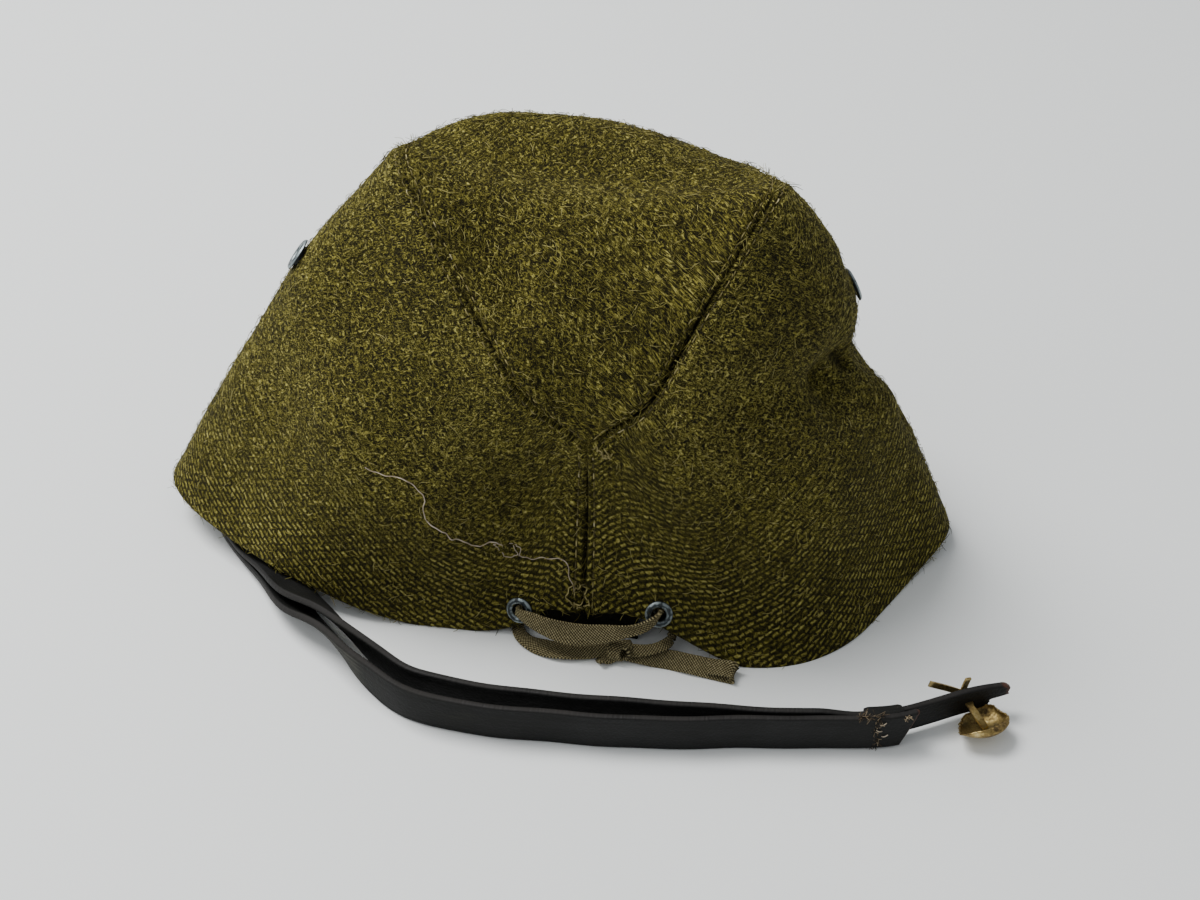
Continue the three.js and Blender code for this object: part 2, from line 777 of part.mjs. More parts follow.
const keeper = (at, wrappedSide, wrappedWidth) => {
  const half = keeperRows(at) / 2;
  const hollowWidth = wrappedWidth + 2 * keeperPlay;
  const hollowThickness = strapThickness + 2 * keeperPlay;
  const overrun = 0.3 * half;
  const sleeve = loft(spread(at - half, at + half, 3, (row) => rectangleRing(
    layerCentre(row, wrappedSide),
    hollowWidth + 2 * keeperWall,
    hollowThickness + 2 * keeperWall,
  )));
  const hollow = loft(spread(at - half - overrun, at + half + overrun, 5, (row) => rectangleRing(
    layerCentre(row, wrappedSide),
    hollowWidth,
    hollowThickness,
  )));
  return cutBy(sleeve, [hollow]);
};

const tabbedWidth = (at) => THREE.MathUtils.lerp(
  strapWidth,
  tabWidth,
  THREE.MathUtils.smoothstep(at, tabTaperFrom, tabTaperTo),
);

const strapOuter = () => {
  const endWidth = (at) => strapWidth * (0.6 + 0.4 * THREE.MathUtils.smoothstep(at, 0, 0.7));
  const leather = strapLayer(outerStart, outerEnd, outerSide, endWidth);
  const sleeve = keeper(outerEnd - 0.6, innerSide, tabWidth);
  const { point, normal } = clothFrame('left', strapButton);
  return cutBy(fused([leather, sleeve]), [roundBar(point, normal, buttonHole, 20)]);
};

const strapInner = () => {
  const leather = strapLayer(innerStart, innerEnd, innerSide, tabbedWidth);
  const sleeve = keeper(innerStart + 0.45, outerSide, strapWidth);
  const tornAt = layerCentre(innerEnd - 0.05, innerSide);
  const legHole = layerCentre(innerEnd - 1.15, innerSide);
  const tornCentre = tornAt.middle.clone().addScaledVector(tornAt.width, -0.2 * tabWidth);
  return cutBy(fused([leather, sleeve]), [
    roundBar(tornCentre, tornAt.face, 0.3 * tabWidth, 4 * strapThickness, 9),
    roundBar(legHole.middle, legHole.face, buttonHole, 4 * strapThickness),
  ]);
};

// Buttons: a domed brass cap on two flat legs, like a split pin.
const dome = () => {
  const steps = 4;
  const arc = (radius, height) => Array.from({ length: steps + 1 }, (_, k) => {
    const angle = (k / steps) * (Math.PI / 2);
    return [radius * Math.sin(angle), height * Math.cos(angle)];
  });
  const outer = arc(buttonRadius, buttonHeight);
  const inner = arc(buttonRadius - buttonShell, buttonHeight - buttonShell);
  return turned([...outer, ...inner.reverse()], 16);
};

const legRow = (point, width) => ({
  x: point.x,
  y: point.y,
  z: point.z,
  width: legWidth,
  thickness: legThickness,
  widthX: width.x,
  widthY: width.y,
  widthZ: width.z,
});

// The whole button on the left panel: its shank goes through the leather and the cloth, and its
// legs are spread flat inside.
const leftButton = () => {
  const { point, normal } = clothFrame('left', strapButton);
  const outward = hemOutward(loopPlace('left', strapButton.station));
  const sideways = new THREE.Vector3(-outward.y, outward.x, 0);
  const rimLift = 3.3;
  const legLift = -clothThickness - 0.9;
  const legReach = 5;
  const at = (lift, aside) => point.clone().addScaledVector(normal, lift).addScaledVector(sideways, aside);
  const shankLength = rimLift + buttonHeight / 2 - legLift;
  const shank = roundBar(at(legLift + shankLength / 2, 0), normal, buttonShank, shankLength, 10);
  const across = normal.clone().cross(sideways);
  const legs = ribbon([legRow(at(legLift, -legReach), across), legRow(at(legLift, legReach), across)], 2);
  const cap = aimed(dome(), at(rimLift, 0), normal);
  const boss = roundBar(at(rimLift + buttonHeight / 2 + 0.5, 0), normal, buttonShank, 1.6, 10);
  return fused([cap, shank, boss, legs]);
};

// The torn-off button hangs from the end of the strap by its legs, which pass through the leather.
const rightButton = () => {
  const rim = new THREE.Vector3(...tornButton.rim);
  const facing = new THREE.Vector3(...tornButton.facing).normalize();
  const hole = layerCentre(innerEnd - 1.15, innerSide);
  const root = rim.clone().addScaledVector(facing, buttonHeight - buttonShell);
  const front = hole.middle.clone().addScaledVector(hole.face, 2.6);
  const back = hole.middle.clone().addScaledVector(hole.face, -2.2);
  const leg = (tip) => ribbon([
    legRow(root, hole.way),
    legRow(front, hole.way),
    legRow(back, hole.way),
    legRow(new THREE.Vector3(...tip), hole.way),
  ], 10);
  return fused([
    aimed(dome(), rim, facing),
    leg(tornButton.uprightLeg),
    leg(tornButton.bentLeg),
  ]);
};

// Lace
const throughEyelet = (side, inwards) => {
  const { point, normal } = clothFrame(side, laceEyelets[side]);
  const row = (lift) => ({
    x: point.x + normal.x * lift,
    y: point.y + normal.y * lift,
    z: point.z + normal.z * lift,
    width: 2.4,
    thickness: 1,
    widthX: 0.3,
    widthY: 0,
    widthZ: 1,
  });
  const rows = [row(1.8), row(-0.6), row(-3), row(-5.2)];
  return inwards ? rows : rows.reverse();
};

const lace = () => {
  const loop = [
    ...namedRows(laceColumns, laceFromKnotRows),
    ...throughEyelet('left', false),
    ...namedRows(laceColumns, laceAcrossRows),
    ...throughEyelet('right', true),
    ...namedRows(laceColumns, laceToKnotRows),
  ];
  const lump = new THREE.SphereGeometry(1, 10, 7);
  lump.scale(knot.halfLength, knot.halfDepth, knot.halfHeight);
  lump.translate(knot.x, knot.y, knot.z);
  return fused([
    ribbon(loop, 56),
    ribbon(namedRows(laceColumns, laceTailRows), 8),
    ribbon(namedRows(laceColumns, laceStubRows), 5),
    lump,
  ]);
};

// Assembly
const group = new THREE.Group();
group.position.set(-originX, -originY, 0);

const addPiece = (name, geometry, material) => {
  const mesh = new THREE.Mesh(geometry, material);
  mesh.name = name;
  group.add(mesh);
  return mesh;
};

const material = (color, roughness, metalness) => (
  new THREE.MeshStandardMaterial({ color, roughness, metalness })
);
const wool = () => material(0x4a4a20, 0.95, 0);
const leather = () => material(0x1c1b1a, 0.55, 0);
const tape = () => material(0x7d7658, 0.9, 0);
const brass = () => material(0x8c6f3c, 0.45, 1);
const paintedBrass = () => material(0x2d3a40, 0.5, 0.6);

const woolHoles = {
  left: [
    eyeletCutter('left', vents.left, ventSize),
    eyeletCutter('left', laceEyelets.left, laceSize),
    buttonHoleCutter(),
  ],
  right: [
    eyeletCutter('right', vents.right, ventSize),
    eyeletCutter('right', laceEyelets.right, laceSize),
  ],
};

for (const side of ['left', 'right']) {
  addPiece(`${side}_panel`, cutBy(sidePanel(side), woolHoles[side]), wool());
  for (const [kind, places, size] of [['vent', vents, ventSize], ['lace', laceEyelets, laceSize]]) {
    const { point, normal } = clothFrame(side, places[side]);
    const ring = addPiece(`${kind}_eyelet_${side}`, eyelet(size), paintedBrass());
    ring.position.copy(point);
    ring.quaternion.setFromUnitVectors(upAxis, normal);
  }
}
addPiece('top_panel', topPanel(), wool());
addPiece('peak', peak(), wool());
addPiece('strap_outer', strapOuter(), leather());
addPiece('strap_inner', strapInner(), leather());
addPiece('button_left', leftButton(), brass());
addPiece('button_right', rightButton(), brass());
addPiece('lace', lace(), tape());

export default group;
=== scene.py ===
import math

import bmesh
import bpy
import numpy as np
from mathutils import Matrix, Vector
from mathutils.bvhtree import BVHTree


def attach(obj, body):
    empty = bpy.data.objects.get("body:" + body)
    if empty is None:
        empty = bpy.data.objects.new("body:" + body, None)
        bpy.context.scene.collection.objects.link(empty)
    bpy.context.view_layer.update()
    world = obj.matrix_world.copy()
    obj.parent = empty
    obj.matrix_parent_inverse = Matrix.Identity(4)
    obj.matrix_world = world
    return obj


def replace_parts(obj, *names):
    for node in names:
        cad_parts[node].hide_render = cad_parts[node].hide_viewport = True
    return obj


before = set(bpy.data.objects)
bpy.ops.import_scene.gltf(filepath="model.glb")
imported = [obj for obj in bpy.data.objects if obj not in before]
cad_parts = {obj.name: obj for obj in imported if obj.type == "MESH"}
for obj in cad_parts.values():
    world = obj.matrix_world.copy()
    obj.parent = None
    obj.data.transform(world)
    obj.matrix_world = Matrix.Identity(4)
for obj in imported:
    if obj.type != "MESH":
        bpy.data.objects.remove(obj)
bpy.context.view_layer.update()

# Camera: it stands behind the cap and looks down on its back, as in the photograph.
mm = 0.001
cap_middle_on_table = np.array([0.5, 16.3, 0.0])
camera_elevation = math.radians(40)
camera_azimuth = math.radians(4)
camera_roll = math.radians(1)
camera_distance = 514 * mm
focal_pixels = 1800
photo_width, photo_height = 1200, 900
anchor_pixel = (575, 530)
sensor_width = 36

forward = Vector((
    -math.sin(camera_azimuth) * math.cos(camera_elevation),
    math.cos(camera_azimuth) * math.cos(camera_elevation),
    -math.sin(camera_elevation),
))
level_right = Vector((math.cos(camera_azimuth), math.sin(camera_azimuth), 0))
level_up = level_right.cross(forward)
picture_right = level_right * math.cos(camera_roll) + level_up * math.sin(camera_roll)
picture_up = level_up * math.cos(camera_roll) - level_right * math.sin(camera_roll)
to_anchor = (
    forward
    + picture_right * ((anchor_pixel[0] - photo_width / 2) / focal_pixels)
    - picture_up * ((anchor_pixel[1] - photo_height / 2) / focal_pixels)
).normalized()
camera_data = bpy.data.cameras.new("camera")
camera_data.sensor_width = sensor_width
camera_data.lens = sensor_width * focal_pixels / photo_width
camera_data.clip_start = 0.01
camera = bpy.data.objects.new("camera", camera_data)
turn = Matrix((picture_right, picture_up, -forward)).transposed().to_4x4()
place = -to_anchor * camera_distance - Vector(cap_middle_on_table) * mm
camera.matrix_world = Matrix.Translation(place) @ turn
bpy.context.scene.collection.objects.link(camera)
bpy.context.scene.camera = camera


# Table and light: a plain pale floor, a large soft light high on the left and a pale room.
def linear(hex_colour, alpha=1.0):
    """The linear colour of an sRGB hex value."""
    levels = [int(hex_colour[i:i + 2], 16) / 255 for i in (1, 3, 5)]
    return (*[(c / 12.92) if c <= 0.04045 else ((c + 0.055) / 1.055) ** 2.4 for c in levels], alpha)


def add_node(tree, kind, inputs=None, steps=None, **settings):
    """Adds a node with its settings. Each input is a value, or the output that is linked to it.
    The steps of a colour ramp are pairs of a place and a colour."""
    node = tree.nodes.new("ShaderNode" + kind)
    for name, value in settings.items():
        setattr(node, name, value)
    for number, (at, colour) in enumerate(steps or []):
        if number < 2:
            node.color_ramp.elements[number].position = at
        else:
            node.color_ramp.elements.new(at)
        node.color_ramp.elements[number].color = linear(colour)
    for key, value in (inputs or {}).items():
        if isinstance(value, bpy.types.NodeSocket):
            tree.links.new(value, node.inputs[key])
        else:
            node.inputs[key].default_value = value
    return node


def new_material(name):
    """A material with a Principled shader, and its node tree."""
    material = bpy.data.materials.new(name)
    material.use_nodes = True
    tree = material.node_tree
    return material, tree, tree.nodes["Principled BSDF"]


# Painted floor board: pale matte paint, with a faint unevenness in its tone.
floor_paint, tree, shader = new_material("pale matte paint")
spots = add_node(tree, "TexNoise", {"Scale": 3.0, "Detail": 4.0})
tone = add_node(tree, "ValToRGB", {0: spots.outputs["Fac"]}, steps=[
    (0.3, "#F2F4F2"), (0.7, "#F7F9F7"),
]).outputs[0]
tree.links.new(tone, shader.inputs["Base Color"])
shader.inputs["Roughness"].default_value = 0.6

bpy.ops.object.select_all(action="DESELECT")
bpy.ops.mesh.primitive_plane_add(size=8, location=(0, 0, 0))
floor = bpy.context.object
floor.name = "floor"
floor.data.materials.append(floor_paint)


def soft_light(name, place, aim, size, power):
    """A square area light at a place, turned to an aim."""
    data = bpy.data.lights.new(name, "AREA")
    data.size = size
    data.energy = power
    light = bpy.data.objects.new(name, data)
    light.location = place
    light.rotation_euler = (Vector(aim) - Vector(place)).to_track_quat("-Z", "Y").to_euler()
    bpy.context.scene.collection.objects.link(light)
    return light


soft_light("window_light", (-0.68, 0.3, 1.25), (0, 0, 0.05), 0.7, 26)
soft_light("fill_light", (-1.1, -0.8, 1.2), (0, 0, 0.05), 1.2, 6)
world = bpy.data.worlds.new("pale_room")
world.use_nodes = True
world.node_tree.nodes["Background"].inputs["Color"].default_value = linear("#E6EAEE")
world.node_tree.nodes["Background"].inputs["Strength"].default_value = 0.52
bpy.context.scene.world = world


# Wool panels: the cap is two side panels and a top panel of thick napped wool twill, sewn
# together on seams that pull a crevice into the cloth. The cap has slumped, so the panels carry
# soft folds, a pinch at the right and a hem that rises over the lacing notch and the strap.
cloth_thickness = 2.0
section_rows_right = [
    [22, -45.5, 11.5, 14, -37.5, 70, -2.5, -1],
    [46, -49, 1, 21.5, -35.5, 77, -3, 2],
    [66, -46, 0, 31.6, -28, 96, -2, 3.5],
    [82, -32, 0, 40.2, -18, 108.6, 1, 5],
    [97, -9, 1, 46.8, -7.5, 117, 2.5, 6.5],
    [106, 6, 5, 49, 3, 116.5, 3, 5.5],
    [98, 28, 0, 46, 22, 107, 2.5, 3],
    [72, 50, 0, 36, 38, 98, 3, 6],
    [36, 62, 0, 20, 50, 84, 4, 7],
]
section_rows_left = [
    [-4, -44, 10.8, 0, -37.5, 67, -3, -3.5],
    [-13.5, -43, 2.5, -8, -35.5, 73, -3.5, -3],
    [-40, -42, 0, -18.3, -30, 86.6, 0, 1],
    [-71, -36, 7.2, -31.7, -17, 104.5, 2, 2],
    [-97, -19.3, 8, -40.6, -4, 114.2, 2, 3],
    [-115.5, 1, 10, -45, 8, 117.5, 3, 4],
    [-103, 25, 8, -42, 24, 110, 3, 4],
    [-74, 48, 0, -33, 39, 100, 4, 6],
    [-36, 61, 0, -18, 50, 84, 4, 7],
]
back_row = [6, -44, 10.5, 6, -39, 62, -3, -3.5]
front_row = [0, 66, 0, 0, 56, 68, 4, 6]
crown_rows = [
    [6, -39, 62], [7, -37.3, 69], [7, -35, 76.5], [6, -28.5, 92], [5, -17, 106], [5, -4, 114],
    [2, 9, 112.5], [-8, 27, 117], [-3, 42, 106], [0, 52, 88], [0, 56, 68],
]
crown_squareness = 2.4
fold_rows = [
    ((55, 4, 107), (61, 5, 100), 9, 2.1),
    ((86, 22, 62), (70, -10, 71), 10, -9),
    ((90, 8, 46), (79, 16, 52), 8, -3),
    ((66, -14, 72), (46, -34, 78), 8, -4),
    ((74, -20, 42), (60, -38, 36), 16, 2),
    ((-70, -5, 84), (-57, -26, 58), 14, 2.5),
    ((-55, -30, 50), (-27, -38, 25), 12, 2.5),
    ((-9, -36, 44), (-1, -37, 60), 10, -2),
    ((-23, -15, 107), (-14, -24, 96), 9, -3),
    ((-14, -33, 79), (4, -12, 110), 9, 2),
    ((10, -7, 112), (17, -15, 108), 9, -2),
]
cap_middle = np.array([0, 8, 40.0])
last_station = len(crown_rows) - 1
top_tip_station = 0.24


def smooth_curve(values, closed=False):
    """A curve without kinks through the rows; it takes places in rows and parts of rows."""
    values = np.array(values, float)
    count = len(values)
    slopes = np.zeros_like(values)
    for _ in range(60):
        for i in range(count):
            before, after = (i - 1) % count, (i + 1) % count
            if closed or 0 < i < count - 1:
                slopes[i] = (3 * (values[after] - values[before]) - slopes[before] - slopes[after]) / 4
            elif i == 0:
                slopes[i] = (3 * (values[1] - values[0]) - slopes[1]) / 2
            else:
                slopes[i] = (3 * (values[i] - values[before]) - slopes[before]) / 2

    def at(place):
        place = np.asarray(place, float)
        start = np.floor(place).astype(int)
        if not closed:
            start = np.clip(start, 0, count - 2)
        u = (place - start)[..., None]
        a, b = start % count, (start + 1) % count
        from_start = (2 * u ** 3 - 3 * u ** 2 + 1) * values[a] + (u ** 3 - 2 * u ** 2 + u) * slopes[a]
        to_end = (3 * u ** 2 - 2 * u ** 3) * values[b] + (u ** 3 - u ** 2) * slopes[b]
        return from_start + to_end

    return at


def unit(vectors):
    return vectors / np.maximum(np.linalg.norm(vectors, axis=-1, keepdims=True), 1e-12)


def dot(a, b):
    return np.sum(a * b, axis=-1, keepdims=True)


loop_rows = np.array([back_row, *section_rows_right, front_row, *section_rows_left[::-1]], float)
hem_curve = smooth_curve(loop_rows[:, :3], closed=True)
bow_curve = smooth_curve(loop_rows[:, 6:], closed=True)
seam_curve = {
    side: smooth_curve(np.array([back_row, *rows, front_row], float)[:, 3:6])
    for side, rows in (("right", section_rows_right), ("left", section_rows_left))
}
crown_curve = smooth_curve(crown_rows)


def folded(points):
    """The points, pushed by the folds and dents."""
    shift = np.zeros_like(points)
    outward = unit(points - cap_middle)
    for start, end, spread, push in fold_rows:
        start, end = np.array(start, float), np.array(end, float)
        way = end - start
        part = np.clip(dot(points - start, way) / np.dot(way, way), 0, 1)
        away = np.linalg.norm(points - start - way * part, axis=-1, keepdims=True) / spread
        shift += outward * push * np.exp(-away ** 2)
    return points + shift


def on_table(points):
    points[..., 2] = np.maximum(points[..., 2], 0)
    return points


def hem_point(along):
    return on_table(hem_curve(along))


def hem_outward(along):
    way = hem_point(along + 0.01) - hem_point(along - 0.01)
    return unit(np.stack([way[..., 1], -way[..., 0], np.zeros(way.shape[:-1])], -1))


def loop_place(side, station):
    return station if side == "right" else len(loop_rows) - station


def wall_point(side, station, height):
    """A point on the outside of a side panel."""
    along = loop_place(side, station)
    foot = hem_point(along)
    rise = seam_curve[side](station) - foot
    outward = hem_outward(along)
    outward = unit(outward - unit(rise) * dot(outward, unit(rise)))
    low, high = np.moveaxis(bow_curve(along), -1, 0)
    bow = 13.5 * height * (1 - height) * (low * (2 / 3 - height) + high * (height - 1 / 3))
    return on_table(folded(foot + rise * height[..., None] + outward * bow[..., None]))


def top_point(station, across):
    """A point on the outside of the top panel, from the left seam to the right one."""
    left, right = seam_curve["left"](station), seam_curve["right"](station)
    rise = crown_curve(station) - (left + right) / 2
    share = 1 - np.abs(2 * across - 1) ** crown_squareness
    return folded(left + (right - left) * across[..., None] + rise * share[..., None])


def panel_point(panel, u, v):
    u, v = np.broadcast_arrays(np.asarray(u, float), np.asarray(v, float))
    return top_point(u, v) if panel == "top" else wall_point(panel, u, v)


def panel_normal(panel, u, v):
    """The way out of the cloth at a place on a panel."""
    u, v = np.broadcast_arrays(np.asarray(u, float), np.asarray(v, float))
    low = top_tip_station if panel == "top" else 0
    step = 0.01
    high = last_station - low
    along_u = (panel_point(panel, np.clip(u + step, low, high), v)
               - panel_point(panel, np.clip(u - step, low, high), v))
    along_v = (panel_point(panel, u, np.clip(v + step, 0, 1))
               - panel_point(panel, u, np.clip(v - step, 0, 1)))
    flip = 1 if panel == "right" else -1
    return unit(np.cross(along_u, along_v)) * flip


def make_piece(name, points, faces, material, smooth=True, uv=None, attributes=None):
    """A closed piece from points in the part's millimetres, riding on the cap."""
    mesh = bpy.data.meshes.new(name)
    placed = (np.asarray(points, float).reshape(-1, 3) - cap_middle_on_table) * mm
    mesh.from_pydata(placed.tolist(), [], faces)
    if uv is not None:
        layer = mesh.uv_layers.new(name="cloth")
        corner = np.zeros(len(mesh.loops), int)
        mesh.loops.foreach_get("vertex_index", corner)
        layer.data.foreach_set("uv", np.asarray(uv, float).reshape(-1, 2)[corner].ravel())
    for key, values in (attributes or {}).items():
        mesh.attributes.new(key, "FLOAT", "POINT").data.foreach_set("value", np.ravel(values))
    shape = bmesh.new()
    shape.from_mesh(mesh)
    bmesh.ops.recalc_face_normals(shape, faces=shape.faces)
    shape.to_mesh(mesh)
    shape.free()
    mesh.polygons.foreach_set("use_smooth", [smooth] * len(mesh.polygons))
    mesh.materials.append(material)
    piece = bpy.data.objects.new(name, mesh)
    bpy.context.scene.collection.objects.link(piece)
    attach(piece, "root")
    return piece


def sheet_faces(columns, rows):
    """Faces of a sheet with an outer and an inner grid, closed all round."""
    at = np.arange(columns * rows).reshape(columns, rows)
    quads = np.stack([at[:-1, :-1], at[1:, :-1], at[1:, 1:], at[:-1, 1:]], -1).reshape(-1, 4)
    inner = quads[:, ::-1] + columns * rows
    edge = np.concatenate([at[:-1, 0], at[-1, :-1], at[:0:-1, -1], at[0, :0:-1]])
    after = np.roll(edge, -1)
    rim = np.stack([after, edge, edge + columns * rows, after + columns * rows], -1)
    return np.concatenate([quads, inner, rim]).tolist()


def dense_at_ends(count, pull=0.85):
    """Places from 0 to 1 that lie closer together at both ends."""
    t = np.linspace(0, 1, count)
    return t - pull * np.sin(2 * math.pi * t) / (2 * math.pi)


def length_along(points, axis):
    """How far each point of a grid lies from the first, measured along the cloth."""
    steps = np.linalg.norm(np.diff(points, axis=axis), axis=-1)
    start = np.zeros_like(np.take(steps, [0], axis=axis))
    return np.concatenate([start, np.cumsum(steps, axis=axis)], axis=axis)


def soft_unevenness(points, rng, waves=22):
    """A gentle swelling of the cloth, made of many long waves."""
    swell = np.zeros(points.shape[:-1])
    for _ in range(waves):
        way = unit(rng.normal(size=3))
        length = rng.uniform(11, 34)
        swell += np.sin(points @ way * (2 * math.pi / length) + rng.uniform(0, 6.28)) * length / 34
    return swell / waves ** 0.5


stitch_pitch = 3.0
crevice_depth = 2.4
crevice_width = 0.6


def seam_profile(away, along, stitch_away):
    """How far the cloth sinks into a seam's crevice, and the row of stitches beside it."""
    pucker = 1 + 0.4 * np.sin(2 * math.pi * along / stitch_pitch)
    crevice = -crevice_depth * np.exp(-(away / crevice_width) ** 2)
    row = -0.4 * pucker * np.exp(-((away - stitch_away) / 0.45) ** 2)
    roll = 0.45 * np.exp(-((away - stitch_away - 2.2) / 1.4) ** 2)
    return crevice + row + roll


# Wool twill: thick greenish brown cloth with a raised nap. Pale yellow fibres lie over a dark
# ground, on slanting wales about 1.7 mm apart that show where the nap is worn near the hem.
fibre_size = 0.5
wale_pitch = 1.7
float_length = 2.3
row_shift = 0.41
wale_slant = math.radians(35)


def wool_twill(name):
    material, tree, shader = new_material(name)

    cloth = add_node(tree, "UVMap", uv_map="cloth").outputs["UV"]
    millimetres = add_node(tree, "VectorMath", {0: cloth, 1: (100, 100, 100)},
                           operation="MULTIPLY").outputs[0]
    stray = add_node(tree, "TexNoise", {"Vector": millimetres, "Scale": 0.35, "Detail": 3.0})
    shift = add_node(tree, "VectorMath", {0: stray.outputs["Color"], 1: (0.5, 0.5, 0.5)},
                     operation="SUBTRACT").outputs[0]
    bent = add_node(tree, "VectorMath", {0: shift, 1: (2.2, 2.2, 2.2), 2: millimetres},
                    operation="MULTIPLY_ADD").outputs[0]

    turned = add_node(tree, "VectorRotate",
                      {"Vector": bent, "Axis": (0, 0, 1), "Angle": -wale_slant}).outputs[0]
    split = add_node(tree, "SeparateXYZ", {0: turned})
    across = add_node(tree, "Math", {0: split.outputs["Y"], 1: wale_pitch},
                      operation="DIVIDE").outputs[0]
    row = add_node(tree, "Math", {0: across}, operation="FLOOR").outputs[0]
    lengths = add_node(tree, "Math", {0: split.outputs["X"], 1: float_length},
                       operation="DIVIDE").outputs[0]
    along = add_node(tree, "Math", {0: row, 1: row_shift, 2: lengths},
                     operation="MULTIPLY_ADD").outputs[0]
    # Each float is bright along its middle and fades to its sides and its ends.
    floats = 1.0
    for run, at_edge, at_middle in ((across, 0.42, 0.08), (along, 0.5, 0.3)):
        part = add_node(tree, "Math", {0: run}, operation="FRACT").outputs[0]
        centred = add_node(tree, "Math", {0: part, 1: 0.5}, operation="SUBTRACT").outputs[0]
        away = add_node(tree, "Math", {0: centred}, operation="ABSOLUTE").outputs[0]
        fade = add_node(tree, "MapRange", {0: away, 1: at_edge, 2: at_middle},
                        interpolation_type="SMOOTHSTEP").outputs[0]
        floats = add_node(tree, "Math", {0: fade, 1: floats}, operation="MULTIPLY").outputs[0]
    number = add_node(tree, "Math", {0: along}, operation="FLOOR").outputs[0]
    cell = add_node(tree, "CombineXYZ", {0: row, 1: number})
    chance = add_node(tree, "TexWhiteNoise", {"Vector": cell.outputs[0]})
    lively = add_node(tree, "Math", {0: chance.outputs["Value"], 1: 0.5, 2: 0.5},
                      operation="MULTIPLY_ADD").outputs[0]
    floats = add_node(tree, "Math", {0: floats, 1: lively}, operation="MULTIPLY").outputs[0]

    def fibres(angle, stretch, scale, seed):
        lie = add_node(tree, "VectorRotate",
                       {"Vector": bent, "Axis": (0, 0, 1), "Angle": angle}).outputs[0]
        drawn = add_node(tree, "VectorMath", {0: lie, 1: (1 / stretch, 1, seed)},
                         operation="MULTIPLY").outputs[0]
        tangle = add_node(tree, "TexNoise",
                          {"Vector": drawn, "Scale": scale, "Detail": 2.5, "Roughness": 0.6,
                           "Distortion": 1.1})
        return add_node(tree, "MapRange", {0: tangle.outputs["Fac"], 1: 0.44, 2: 0.66},
                        interpolation_type="SMOOTHSTEP").outputs[0]

    nap = add_node(tree, "Math", {0: fibres(0.55, 3.2, 1 / fibre_size, 1),
                                            1: fibres(-0.65, 2.8, 1 / fibre_size, 2)},
                   operation="MAXIMUM").outputs[0]
    worn = add_node(tree, "Attribute", attribute_name="worn").outputs["Fac"]
    patches = add_node(tree, "TexNoise", {"Vector": millimetres, "Scale": 0.06, "Detail": 2.0})
    patchy = add_node(tree, "Math", {0: patches.outputs["Fac"], 1: 1.2, 2: 0.25},
                      operation="MULTIPLY_ADD").outputs[0]
    share = add_node(tree, "Math", {0: worn, 1: patchy}, operation="MULTIPLY").outputs[0]
    share = add_node(tree, "Clamp", {0: share, 1: 0.0, 2: 0.92}).outputs[0]
    raised = add_node(tree, "Math", {0: floats, 1: 0.8}, operation="MULTIPLY").outputs[0]
    weave = add_node(tree, "Math", {0: nap, 1: 0.35, 2: raised},
                     operation="MULTIPLY_ADD").outputs[0]
    relief = add_node(tree, "Mix", {0: share, 2: nap, 3: weave}).outputs[0]

    broad = add_node(tree, "TexNoise", {"Vector": millimetres, "Scale": 0.035, "Detail": 3.0})
    cloudy = add_node(tree, "Math", {0: broad.outputs["Fac"], 1: 0.4, 2: -0.235},
                      operation="MULTIPLY_ADD").outputs[0]
    tone = add_node(tree, "Math", {0: relief, 1: cloudy}, operation="ADD").outputs[0]
    colour = add_node(tree, "ValToRGB", {0: tone}, steps=[
        (0.0, "#0C0A02"), (0.22, "#232008"), (0.5, "#4D4817"), (0.78, "#8C8339"), (1.0, "#B5AC62"),
    ]).outputs[0]
    # Painted shade: the crevice attribute darkens the wool to near-black in the seam crevices, beside the
    # stitch rows, at the foot of the hem and in the right crease, where shade falls. In the seams it also
    # stands for some dirt.
    painted_crevice_shade = add_node(tree, "Attribute", attribute_name="crevice").outputs["Fac"]
    dark = add_node(tree, "Mix", {0: painted_crevice_shade, 6: colour, 7: linear("#080601")},
                    data_type="RGBA")
    tree.links.new(dark.outputs[2], shader.inputs["Base Color"])
    bump = add_node(tree, "Bump", {"Height": relief, "Strength": 1.0, "Distance": 0.55 * mm})
    tree.links.new(bump.outputs["Normal"], shader.inputs["Normal"])
    shader.inputs["Roughness"].default_value = 0.95
    shader.inputs["Specular IOR Level"].default_value = 0.15
    shader.inputs["Sheen Weight"].default_value = 0.2
    shader.inputs["Sheen Roughness"].default_value = 0.5
    shader.inputs["Sheen Tint"].default_value = linear("#8C8240")
    return material


wool = wool_twill("napped wool twill")
hem_radius = 0.95
stitch_away = {"crown": 1.8, "back": 2.4}
crease_line = np.array([[67.5, -6.0, 71.5], [70.6, -2.6, 67.5]])
crease_spread, crease_depth = 2.4, 3.0
rng = np.random.default_rng(7)


